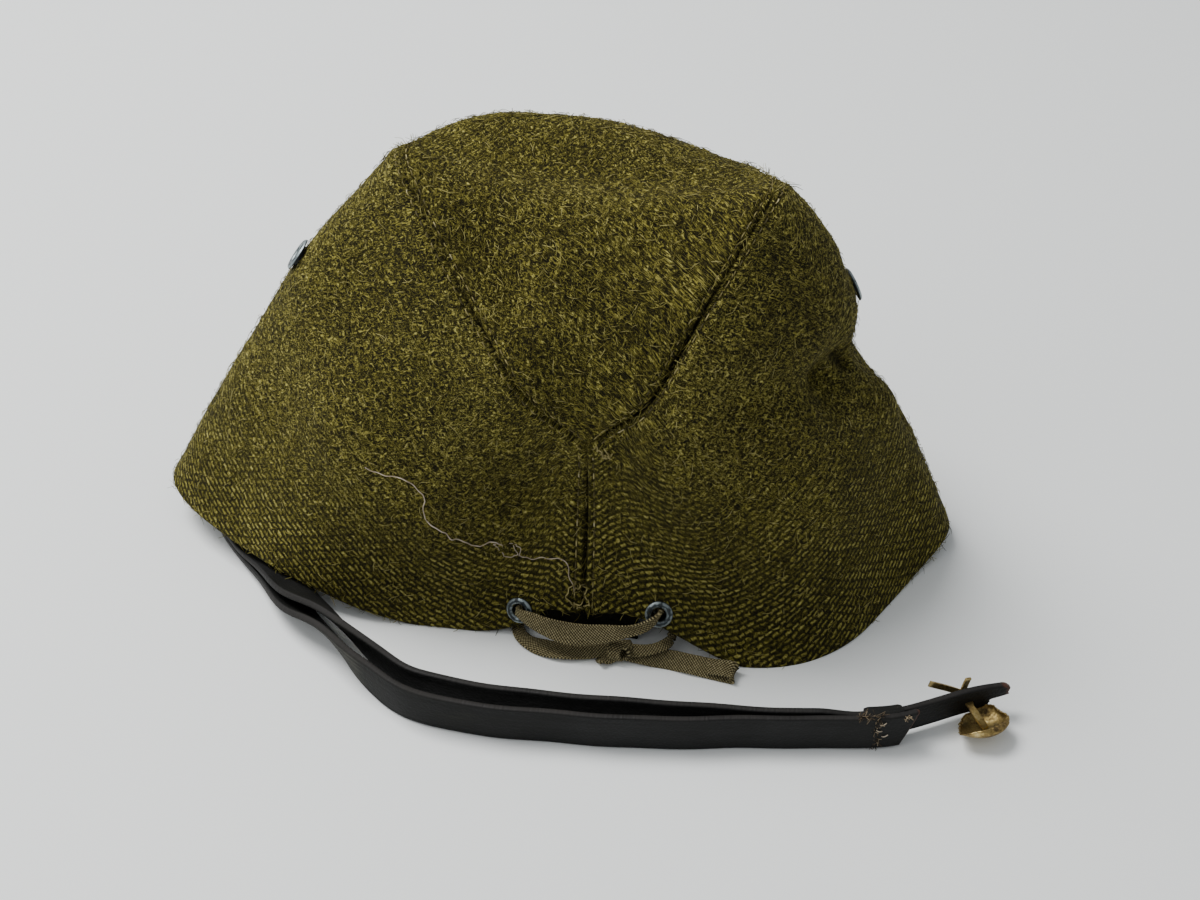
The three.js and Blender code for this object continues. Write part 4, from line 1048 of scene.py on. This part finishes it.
dome = [
    *[(button_radius * math.sin(a), button_height * math.cos(a))
      for a in np.radians(np.linspace(0, 86, 22))],
    *arc((button_radius - 0.35, -0.05), 0.35, 0, -180, 7),
    *[((button_radius - button_wall - 0.2) * math.sin(a), (button_height - button_wall) * math.cos(a))
      for a in np.radians(np.linspace(84, 0, 22))],
]
middle, out = cloth_spot(strap_button_place)
left_button = turned_ring("button_left_dome", dome, middle + out * 3.3, out, brass)
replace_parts(left_button, "button_left")
side_turn = hem_outward(np.array(loop_place("left", strap_button_place[1])))
sideways = np.array([-side_turn[1], side_turn[0], 0])
top_of_leg = middle + out * (3.3 + button_height - 0.6)
for sign in (1, -1):
    rows = [
        top_of_leg + sideways * 0.4 * sign,
        middle + out * 1.2 + sideways * 0.4 * sign,
        middle - out * 2.2 + sideways * 0.5 * sign,
        middle - out * 3.1 + sideways * 1.6 * sign,
        middle - out * 3.2 + sideways * 5.2 * sign,
    ]
    flat_leg(f"button_left_leg_{'a' if sign > 0 else 'b'}", rows, np.cross(out, sideways))

torn_rim = np.array([109.6, -66.2, 5.2])
torn_facing = unit(np.array([0.3, -0.3, -0.9]))
torn_right = unit(np.cross(torn_facing, np.array([0, 0, 1.0])))
torn_up = np.cross(torn_right, torn_facing)


def torn_bowl(around=110, out_steps=30):
    """The torn button's bowl: dented, with a ragged rim that is lost at one side."""
    angle, share = np.meshgrid(np.linspace(0, 2 * math.pi, around, endpoint=False),
                               np.linspace(0.004, 1, out_steps), indexing="ij")
    direction = torn_right * np.cos(angle)[..., None] + torn_up * np.sin(angle)[..., None]
    ragged = 0.05 * np.sin(7 * angle + 1) + 0.035 * np.sin(13 * angle) + 0.025 * np.sin(29 * angle + 2)
    lost = 0.22 * np.exp(-((np.abs(angle - math.pi * 0.95)) / 0.35) ** 2)
    pulled = 0.3 * np.exp(-(np.minimum(angle, 2 * math.pi - angle) / 0.34) ** 2)
    far = 0.3 * np.exp(-((angle - math.pi / 2) / 0.7) ** 2)
    reach = button_radius * (1 - share ** 5 * (np.abs(ragged) + lost + far - pulled))
    bend = share * math.pi / 2
    radius = reach * np.sin(bend)
    height = button_height * np.cos(bend)
    height = height - 0.9 * share ** 3 * np.sin(2 * angle + 0.6) * 0.7
    height = height - 0.8 * np.exp(-((angle - 4.0) / 0.5) ** 2 - ((share - 0.6) / 0.22) ** 2)
    skin = torn_rim + direction * radius[..., None] + torn_facing * height[..., None]
    inward = unit(torn_rim - torn_facing * 1.5 - skin)
    inner = skin + inward * button_wall
    points = np.concatenate([skin.reshape(-1, 3), inner.reshape(-1, 3)])
    at = np.arange(around * out_steps).reshape(around, out_steps)
    after = np.roll(at, -1, axis=0)
    quads = np.stack([at[:, :-1], after[:, :-1], after[:, 1:], at[:, 1:]], -1).reshape(-1, 4)
    inside = quads[:, ::-1] + around * out_steps
    rim = np.stack([at[:, -1], after[:, -1], after[:, -1] + around * out_steps,
                    at[:, -1] + around * out_steps], -1)
    caps = [at[:, 0].tolist(), (at[::-1, 0] + around * out_steps).tolist()]
    faces = [*quads.tolist(), *inside.tolist(), *rim.tolist(), *caps]
    return make_piece("button_right_bowl", points, faces, brass)


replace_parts(torn_bowl(), "button_right")
hole_middle, hole_way, hole_width, hole_face = leather_middle(inner_end - 1.15, -1)
leg_root = torn_rim + torn_facing * (button_height - 0.8)
for name, tip in (("upright", [105.4, -58.2, 11.4]), ("bent", [95.6, -60.2, 10.6])):
    rows = [leg_root, hole_middle + hole_face * 2.6, hole_middle - hole_face * 2.2, tip]
    flat_leg(f"button_right_leg_{name}", np.array(rows, float), hole_way)

# Lace: a flat woven cotton tape through the two eyelets at the notch, tied in a small knot under
# the hem. One end is left long and folded over, the other is a short stub.
lace_from_knot = [
    [14, -48.2, 3, 4, 1, 0, 0.6, 0.8], [6.5, -48.4, 1.9, 5.2, 0.9, 0, 0.9, 0.35],
    [1, -48.8, 1.4, 5.4, 0.9, 0, 1, 0.2], [-5, -47.4, 1.2, 5, 0.9, 0.2, 1, 0.1],
    [-10.4, -43.8, 1.1, 3.8, 0.9, 0.7, 0.7, 0], [-11.6, -38.6, 1.9, 2.8, 0.9, 1, 0.2, 0],
    [-10.6, -35.4, 5, 2.6, 0.9, 1, 0, 0],
]
lace_across = [
    [-6, -47, 9.4, 4.6, 0.9, 0.1, 0.35, 0.93], [2, -48.6, 8.2, 5.8, 0.9, 0, 0.5, 0.85],
    [9, -49.1, 8.4, 5.6, 0.9, 0, 0.5, 0.85], [16, -49.2, 10.2, 4, 0.9, 0, 0.4, 0.9],
    [22.4, -48.6, 12.4, 2.8, 1, 0, 0.2, 0.95],
]
lace_to_knot = [
    [29.5, -41.5, 5.5, 3, 0.9, 0.3, 1, 0], [28.5, -46, 4.2, 3, 0.9, 0.3, 0.8, 0.4],
    [24, -48.4, 3.6, 3, 0.9, 0, 0.8, 0.5], [18, -48.6, 3, 4, 1, 0, 0.6, 0.8],
]
lace_tail = [
    [16, -48.2, 2, 4, 1, 0, 1, 0.4], [22, -48.6, 1, 5, 0.9, 0.1, 1, 0.1],
    [29, -49.4, 0.55, 5.4, 0.9, 0.2, 1, 0], [37, -51, 0.5, 5.4, 0.9, 0.2, 1, 0],
    [45, -52.9, 0.5, 5.2, 0.9, 0.2, 1, 0],
]
lace_stub = [
    [16, -48.4, 2.2, 4, 1, 0, 1, 0.4], [12.8, -50, 1.4, 4.4, 0.9, 0.6, 0.6, 0.2],
    [10.6, -51.4, 0.9, 4.2, 0.9, 0.6, 0.6, 0],
]
knot_middle = np.array([16, -48.4, 2.8])


def through_eyelet(name, lifts):
    side, station, height = eyelet_places[name]
    middle, out = cloth_spot((side, station, height))
    return [[*(middle + out * lift), 2.4, 1, 0.3, 0, 1] for lift in lifts]


# Lace tape: unbleached cotton gone greyish brown, in a tight diagonal weave. Its ribs stand about
# 0.8 mm apart, pale on top and dark between.
rib_pitch = 0.8
lace_cotton, tree, shader = new_material("woven cotton tape")
laid = add_node(tree, "UVMap", uv_map="cloth").outputs["UV"]
millimetres = add_node(tree, "VectorMath", {0: laid, 1: (100, 100, 100)},
                       operation="MULTIPLY").outputs[0]
split = add_node(tree, "SeparateXYZ", {0: millimetres})
waves = []
for slope in (1.0, -0.8):
    diagonal = add_node(tree, "Math",
                        {0: split.outputs["Y"], 1: slope, 2: split.outputs["X"]},
                        operation="MULTIPLY_ADD")
    turns = add_node(tree, "Math", {0: diagonal.outputs[0], 1: 2 * math.pi / rib_pitch},
                     operation="MULTIPLY")
    waves.append(add_node(tree, "Math", {0: turns.outputs[0]}, operation="SINE").outputs[0])
ribs = add_node(tree, "Math", {0: waves[0], 1: 0.3, 2: 0.45}, operation="MULTIPLY_ADD")
ribs = add_node(tree, "Math", {0: waves[1], 1: 0.16, 2: ribs.outputs[0]},
                operation="MULTIPLY_ADD").outputs[0]
fluff = add_node(tree, "TexNoise", {"Vector": millimetres, "Scale": 1.5, "Detail": 5.0})
tone = add_node(tree, "Math", {0: fluff.outputs["Fac"], 1: 0.8, 2: ribs},
                operation="MULTIPLY_ADD")
tone = add_node(tree, "Math", {0: tone.outputs[0], 1: 0.4}, operation="SUBTRACT").outputs[0]
colour = add_node(tree, "ValToRGB", {0: tone}, steps=[
    (0.05, "#1E1A0E"), (0.35, "#4C442C"), (0.65, "#7C7250"), (0.95, "#ADA27C"),
]).outputs[0]
tree.links.new(colour, shader.inputs["Base Color"])
bump = add_node(tree, "Bump", {"Height": tone, "Strength": 0.9, "Distance": 0.3 * mm})
tree.links.new(bump.outputs["Normal"], shader.inputs["Normal"])
shader.inputs["Roughness"].default_value = 0.92
shader.inputs["Specular IOR Level"].default_value = 0.2


def tape(name, rows, count):
    """A stretch of the lace through rows of places, a little crumpled across its width."""
    values = smooth_curve(rows)(np.linspace(0, len(rows) - 1, count))
    middle = values[:, :3]
    way = unit(np.gradient(middle, axis=0))
    width = unit(values[:, 5:8] - way * dot(values[:, 5:8], way))
    face = np.cross(way, width)
    along = np.concatenate([[0], np.cumsum(np.linalg.norm(np.diff(middle, axis=0), axis=1))])
    curl = 0.35 * np.sin(along / 3.1 + 1)

    def crumple(x, up):
        return (curl[:, None] * x ** 2 + 0.18 * np.sin(along / 1.7)[:, None] * x
                + 0.12 * up * np.exp(-((np.abs(x) - 0.85) / 0.1) ** 2))

    rings, x = strip_rings(middle, width, face, values[:, 3], values[:, 4] * 0.85, 0.25, crumple)
    rings[..., 2] = np.maximum(rings[..., 2], 0.04)
    uv = np.stack([np.broadcast_to(along[:, None], x.shape), x], -1) * 0.01
    return make_piece(name, rings.reshape(-1, 3), ring_faces(count, rings.shape[1]), lace_cotton,
                      uv=uv)


lace_loop = tape("lace_loop", [
    *lace_from_knot, *through_eyelet("lace_eyelet_left", (-5.2, -3, -0.6, 1.8)), *lace_across,
    *through_eyelet("lace_eyelet_right", (1.8, -0.6, -3, -5.2)), *lace_to_knot,
], 520)
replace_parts(lace_loop, "lace")
tape("lace_stub", lace_stub, 60)
# The tail stands a little on its edge, and its end is turned back over itself.
tail_tilt = np.array([[0, 0, 0.5 * min(k, 2), 0, 0, 0, 0, 0.28 * min(k, 2)] for k in range(5)])
turned_back = [
    [46.2, -53.2, 1.9, 5, 0.9, 0.2, 1, 0.5], [45.9, -53.0, 2.9, 4.8, 0.9, 0.2, 1, 0.5],
    [43.4, -52.5, 3.0, 4.6, 0.9, 0.2, 1, 0.5], [39.5, -51.7, 2.6, 4.4, 0.9, 0.2, 1, 0.5],
]
tape("lace_tail", np.concatenate([np.array(lace_tail) + tail_tilt, turned_back]), 220)


def knot_turn(name, axis_long, axis_short, long_reach, short_reach, wide, shift):
    """One turn of the tape round the knot, as a closed band."""
    count = 72
    angle = np.linspace(0, 2 * math.pi, count, endpoint=False)
    long_way = unit(np.array(axis_long, float))
    short_way = np.array(axis_short, float)
    short_way = unit(short_way - long_way * np.dot(short_way, long_way))
    width = np.cross(long_way, short_way)
    centre = knot_middle + np.array(shift, float)
    middle = (centre + long_way * (long_reach * np.cos(angle))[:, None]
              + short_way * (short_reach * np.sin(angle))[:, None]
              + width * (0.35 * np.sin(2 * angle))[:, None])
    way = unit(np.roll(middle, -1, axis=0) - np.roll(middle, 1, axis=0))
    across = unit(width - way * dot(np.broadcast_to(width, way.shape), way))
    face = np.cross(way, across)
    rings, x = strip_rings(middle, across, face, wide, 0.8, 0.25)
    rings[..., 2] = np.maximum(rings[..., 2], 0.04)
    along = angle * (long_reach + short_reach) / 2
    uv = np.stack([np.broadcast_to(along[:, None], x.shape), x], -1) * 0.01
    return make_piece(name, rings.reshape(-1, 3),
                      ring_faces(count, rings.shape[1], closed=True, capped=False), lace_cotton,
                      uv=uv)


knot_turn("lace_knot_over", (0.15, 1, 0.1), (0, 0, 1), 2.6, 2.0, 3.6, (-0.6, 0, 0))
knot_turn("lace_knot_slant", (0.9, 0.5, 0.1), (0, -0.1, 1), 3.3, 1.9, 3.0, (0.4, 0.2, 0))
knot_turn("lace_knot_under", (1, -0.3, 0), (0, 0.7, 0.7), 3.0, 1.7, 2.8, (0.2, -0.4, -0.3))


# Topstitches: two rows of undyed cotton thread run beside each seam, about 2 mm from it. They are
# lockstitched through the wool, so each stitch sinks into the cloth at both ends.
stitch_thread, tree, shader = new_material("undyed cotton thread")
here = add_node(tree, "TexCoord").outputs["Object"]
dirt = add_node(tree, "TexNoise", {"Vector": here, "Scale": 500.0, "Detail": 3.0})
shade = add_node(tree, "Attribute", attribute_name="shade").outputs["Fac"]
tone = add_node(tree, "Math", {0: dirt.outputs["Fac"], 1: shade}, operation="MULTIPLY")
colour = add_node(tree, "ValToRGB", {0: tone.outputs[0]}, steps=[
    (0.05, "#2E280F"), (0.3, "#6B6133"), (0.6, "#A1955F"), (0.95, "#D9CFB6"),
]).outputs[0]
tree.links.new(colour, shader.inputs["Base Color"])
shader.inputs["Roughness"].default_value = 0.85


def strands(paths, radii, sides=4):
    """Points and faces of many thin round strands, each along its own row of places."""
    paths = np.asarray(paths, float)
    count, steps = paths.shape[:2]
    way = unit(np.gradient(paths, axis=1))
    aside = unit(np.cross(way, unit(np.array([0.31, 0.52, 0.79]))))
    above = np.cross(way, aside)
    angle = 2 * math.pi * np.arange(sides) / sides
    ring = (aside[:, :, None] * np.cos(angle)[:, None] + above[:, :, None] * np.sin(angle)[:, None])
    radii = np.broadcast_to(np.asarray(radii, float), (count, steps))
    points = paths[:, :, None] + ring * radii[:, :, None, None]
    at = np.arange(count * steps * sides).reshape(count, steps, sides)
    after = np.roll(at, -1, axis=2)
    quads = np.stack([at[:, :-1], after[:, :-1], after[:, 1:], at[:, 1:]], -1).reshape(-1, 4).tolist()
    caps = [*at[:, 0, ::-1].tolist(), *at[:, -1].tolist()]
    return points.reshape(-1, 3), quads + caps


def strand_piece(name, paths, radii, material, shade=None, sides=4):
    points, faces = strands(paths, radii, sides)
    shades = np.repeat(np.ones(len(paths)) if shade is None else shade, len(points) // len(paths))
    return make_piece(name, points, faces, material, attributes={"shade": shades})


def lifted(panel, u, v, lift):
    """Points over a panel's cloth."""
    return panel_point(panel, u, v) + panel_normal(panel, u, v) * np.asarray(lift)[..., None]


def seam_stitches(panel, seam, away):
    """Paths of the stitches beside one seam of a panel."""
    t = np.linspace(0.01, 0.99, 400)
    low = top_tip_station if panel == "top" else 0
    run = low + t * (last_station - 2 * low)
    if seam in ("crown_low", "crown_high"):
        edge, inside = (0.0, 0.02) if seam == "crown_low" else (1.0, 0.98)
        line = panel_point(panel, run, np.full_like(run, edge))
        width = np.linalg.norm(panel_point(panel, run, np.full_like(run, inside)) - line, axis=1) / 0.02
        u, v = run, edge + np.sign(inside - edge) * away / np.maximum(width, 4)
    else:
        edge, inside = (0.0, 0.1) if seam == "back" else (last_station, last_station - 0.1)
        line = panel_point(panel, np.full_like(t, edge), t)
        width = np.linalg.norm(panel_point(panel, np.full_like(t, inside), t) - line, axis=1) / 0.1
        u, v = edge + np.sign(inside - edge) * away / np.maximum(width, 4), t
    length = np.concatenate([[0], np.cumsum(np.linalg.norm(np.diff(line, axis=0), axis=1))])
    starts = np.arange(0.6, length[-1] - 2.4, stitch_pitch)
    jitter = np.random.default_rng(int(away * 10) + len(seam)).uniform(-0.2, 0.2, (2, len(starts)))
    share = np.linspace(0, 1, 6)
    spots = starts[:, None] + (stitch_pitch - 0.7) * share + jitter[0][:, None]
    lift = np.broadcast_to(-0.85 + 0.8 * np.sin(math.pi * share) ** 0.6, spots.shape)
    paths = lifted(panel, np.interp(spots, length, u), np.interp(spots, length, v), lift)
    return paths


for panel, seams in (
    ("left", ("crown_high", "back", "front")),
    ("right", ("crown_high", "back", "front")),
    ("top", ("crown_low", "crown_high")),
):
    paths = np.concatenate([
        seam_stitches(panel, seam, stitch_away["crown" if "crown" in seam else "back"])
        for seam in seams
    ])
    faded = np.random.default_rng(len(paths)).uniform(0.25, 1.2, len(paths))
    strand_piece(f"topstitches_{panel}", paths, 0.17, stitch_thread, faded, sides=6)

# Raised nap: the wool's own loose fibres. Most lie along the cloth, and some stand off it and make
# the outline soft.
nap_fibre, tree, shader = new_material("loose wool fibre")
shade = add_node(tree, "Attribute", attribute_name="shade").outputs["Fac"]
colour = add_node(tree, "ValToRGB", {0: shade}, steps=[
    (0.0, "#2A240A"), (0.35, "#554D1C"), (0.7, "#857C3A"), (1.0, "#A89F63"),
]).outputs[0]
tree.links.new(colour, shader.inputs["Base Color"])
shader.inputs["Roughness"].default_value = 0.9
shader.inputs["Specular IOR Level"].default_value = 0.2


def outside_spots(panel, count, rng):
    """Random places all over a panel's outside, with the way out of the cloth there."""
    mesh = panels[panel].data
    total = len(mesh.polygons)
    area, centre, normal = np.empty(total), np.empty(total * 3), np.empty(total * 3)
    mesh.polygons.foreach_get("area", area)
    mesh.polygons.foreach_get("center", centre)
    mesh.polygons.foreach_get("normal", normal)
    centre = centre.reshape(-1, 3) / mm + cap_middle_on_table
    normal = normal.reshape(-1, 3)
    away = np.sum(normal * unit(centre - cap_middle), axis=1) > 0.05
    area = area * away * (centre[:, 2] > 0.8)
    chosen = rng.choice(total, count, p=area / area.sum())
    return centre[chosen] + rng.normal(scale=0.25, size=(count, 3)), normal[chosen]


for panel, count in (("left", 9000), ("right", 9000), ("top", 6500)):
    rng = np.random.default_rng(20 + len(panel))
    root, out = outside_spots(panel, count, rng)
    tangent = unit(np.cross(out, rng.normal(size=(count, 3))))
    second = np.cross(out, tangent)
    long = rng.uniform(1.2, 3.6, count)[:, None, None]
    rise = (rng.uniform(0.1, 0.5, count) + (rng.random(count) > 0.93) * rng.uniform(0.2, 0.9, count))
    t = np.linspace(0, 1, 3)[None, :, None]
    bow = rng.normal(scale=0.35, size=count)[:, None, None]
    paths = (root[:, None] + out[:, None] * (-0.15 + rise[:, None, None] * np.sin(t * 2.4))
             + tangent[:, None] * long * t + second[:, None] * bow * long * t ** 2)
    paths[..., 2] = np.maximum(paths[..., 2], 0.1)
    radii = rng.uniform(0.05, 0.1, count)[:, None] * np.array([1, 1, 0.5])
    strand_piece(f"wool_nap_{panel}", paths, radii, nap_fibre,
                 rng.uniform(0.05, 1.0, count) ** 1.3, sides=3)

# Loose threads: a long thin lint thread that lies on the left of the back, a short one by it, and
# pulled ends of the stitching at the foot of the back seam and at the point of the crown.
lint_thread, tree, shader = new_material("whitish lint thread")
here = add_node(tree, "TexCoord").outputs["Object"]
dust = add_node(tree, "TexNoise", {"Vector": here, "Scale": 300.0, "Detail": 2.0})
colour = add_node(tree, "ValToRGB", {0: dust.outputs["Fac"]}, steps=[
    (0.35, "#8F7F66"), (0.65, "#C9BBA6"),
]).outputs[0]
tree.links.new(colour, shader.inputs["Base Color"])
shader.inputs["Roughness"].default_value = 0.9

cloth_trees = []
for piece in panels.values():
    corners = np.empty(len(piece.data.vertices) * 3)
    piece.data.vertices.foreach_get("co", corners)
    cloth_trees.append(BVHTree.FromPolygons(
        corners.reshape(-1, 3).tolist(), [tuple(p.vertices) for p in piece.data.polygons]))


def on_cloth(pixel, lift):
    """The place on the cloth that the camera sees at a pixel of its frame."""
    ray = (forward + picture_right * ((pixel[0] - photo_width / 2) / focal_pixels)
           - picture_up * ((pixel[1] - photo_height / 2) / focal_pixels)).normalized()
    hits = [cloth.ray_cast(camera.location, ray) for cloth in cloth_trees]
    found = min((hit for hit in hits if hit[0] is not None), key=lambda hit: hit[3])
    out = found[1] if found[1].dot(ray) < 0 else -found[1]
    return np.array(found[0]) / mm + cap_middle_on_table + np.array(out) * lift


def thread_on_cloth(name, pixels, radius, material, steps, lift=0.35, shake=0.25):
    """A loose thread laid on the cloth through places that the camera sees."""
    rows = np.array([on_cloth(pixel, lift) for pixel in smooth_curve(pixels)(
        np.linspace(0, len(pixels) - 1, steps))])
    wobble = np.random.default_rng(steps).normal(scale=shake, size=rows.shape)
    path = smooth_curve(rows + wobble)(np.linspace(0, steps - 1, steps * 5))
    path[..., 2] = np.maximum(path[..., 2], radius)
    strand_piece(name, path[None], radius, material, np.array([0.9]), sides=7)


thread_on_cloth("lint_thread_long", [
    (366, 468), (379, 473), (401, 478), (418, 490), (426, 502), (424, 516), (436, 527), (451, 536),
    (468, 542), (482, 545), (495, 541), (503, 545),
], 0.14, lint_thread, 34)
thread_on_cloth("lint_thread_short", [
    (511, 541), (518, 548), (524, 557), (542, 557), (560, 560), (569, 572), (575, 590),
], 0.11, lint_thread, 22)
thread_on_cloth("lint_thread_tail", [(495, 541), (500, 551), (508, 556), (517, 553), (512, 545)],
                0.1, lint_thread, 14, lift=0.6)
for number, pixels in enumerate((
    [(577, 578), (570, 586), (567, 596), (573, 604), (581, 600), (582, 592)],
    [(582, 597), (588, 590), (584, 584), (577, 587), (574, 596)],
    [(576, 604), (580, 608), (588, 604), (586, 597)],
    [(597, 447), (601, 452), (608, 455), (604, 449)],
    [(600, 453), (606, 457), (613, 454)],
)):
    thread_on_cloth(f"pulled_thread_{number + 1}", pixels, 0.17, stitch_thread, 16, lift=0.5)

# Strap ends: the thread that held the keeper is frayed out of its ragged holes, tufts of brown
# fibre stand on the upper edge there, and a few pale fibres hang in the torn mouth.
flesh_fibre, tree, shader = new_material("raw leather fibre")
shade = add_node(tree, "Attribute", attribute_name="shade").outputs["Fac"]
colour = add_node(tree, "ValToRGB", {0: shade}, steps=[
    (0.0, "#1E1711"), (0.5, "#57472F"), (1.0, "#B3A183"),
]).outputs[0]
tree.links.new(colour, shader.inputs["Base Color"])
shader.inputs["Roughness"].default_value = 0.9


def tufts(name, place, layer, across, along, count, long, seed, shades):
    """Short loose fibres that stand off one leather at places across and along it, in mm."""
    rng = np.random.default_rng(seed)
    middle, way, width, face = leather_middle(np.array(place), layer)
    side = rng.uniform(*across, count)[:, None]
    root = middle + width * side + way * rng.uniform(*along, count)[:, None]
    root = root + face * (layer * (strap_thickness / 2 - 0.1)) * (np.abs(side) < 5)
    lean = way * rng.normal(scale=0.7, size=(count, 1)) + face * layer * rng.uniform(0, 0.9, (count, 1))
    lean = unit(lean + width * np.sign(side) * rng.uniform(0, 0.9, (count, 1)))
    t = np.linspace(0, 1, 5)[None, :, None]
    reach = rng.uniform(0.4, 1, count)[:, None, None] * long
    curl = rng.normal(scale=0.4, size=(count, 1, 3))
    paths = root[:, None] + lean[:, None] * reach * t + curl * reach * t ** 2
    paths[..., 2] = np.maximum(paths[..., 2], 0.1)
    strand_piece(name, paths, rng.uniform(0.05, 0.1, count)[:, None], flesh_fibre,
                 rng.uniform(*shades, count), sides=4)


sewn_place = outer_end - 0.83
tufts("strap_tuft_upper", sewn_place, 1, (5.2, 5.6), (-4.5, 1.5), 60, 2.2, 31, (0, 0.8))
tufts("strap_tuft_sewn", sewn_place, 1, (-5.0, 5.0), (-0.8, 1.2), 46, 1.3, 32, (0.1, 1))
tufts("strap_tuft_lower", sewn_place, 1, (-5.6, -5.2), (-1.4, 0.4), 26, 1.1, 33, (0, 0.4))
tufts("strap_tuft_end", outer_end - 0.12, 1, (3.6, 4.9), (-0.4, 0.8), 24, 1.2, 34, (0.6, 1))
tufts("strap_tuft_torn", inner_end - 0.5, -1, (-1.5, 1.2), (0, 1.5), 20, 1.8, 35, (0.7, 1))
middle, way, width, face = leather_middle(np.array(sewn_place), 1)
loose_stitches = []
for side, shift, lean in ((3.2, 1.6, 0.9), (1.6, 0.7, -0.5), (-0.9, 2.3, 0.6)):
    start = middle + width * side + way * (shift - 0.9) + face * 1.15
    steps = [start, start + way * 0.7 + width * 0.5 * lean + face * 0.3, start + way * 1.5 + width * lean]
    loose_stitches.append(smooth_curve(np.array(steps))(np.linspace(0, 2, 8)))
strand_piece("strap_loose_stitches", loose_stitches, 0.14, lint_thread, sides=6)
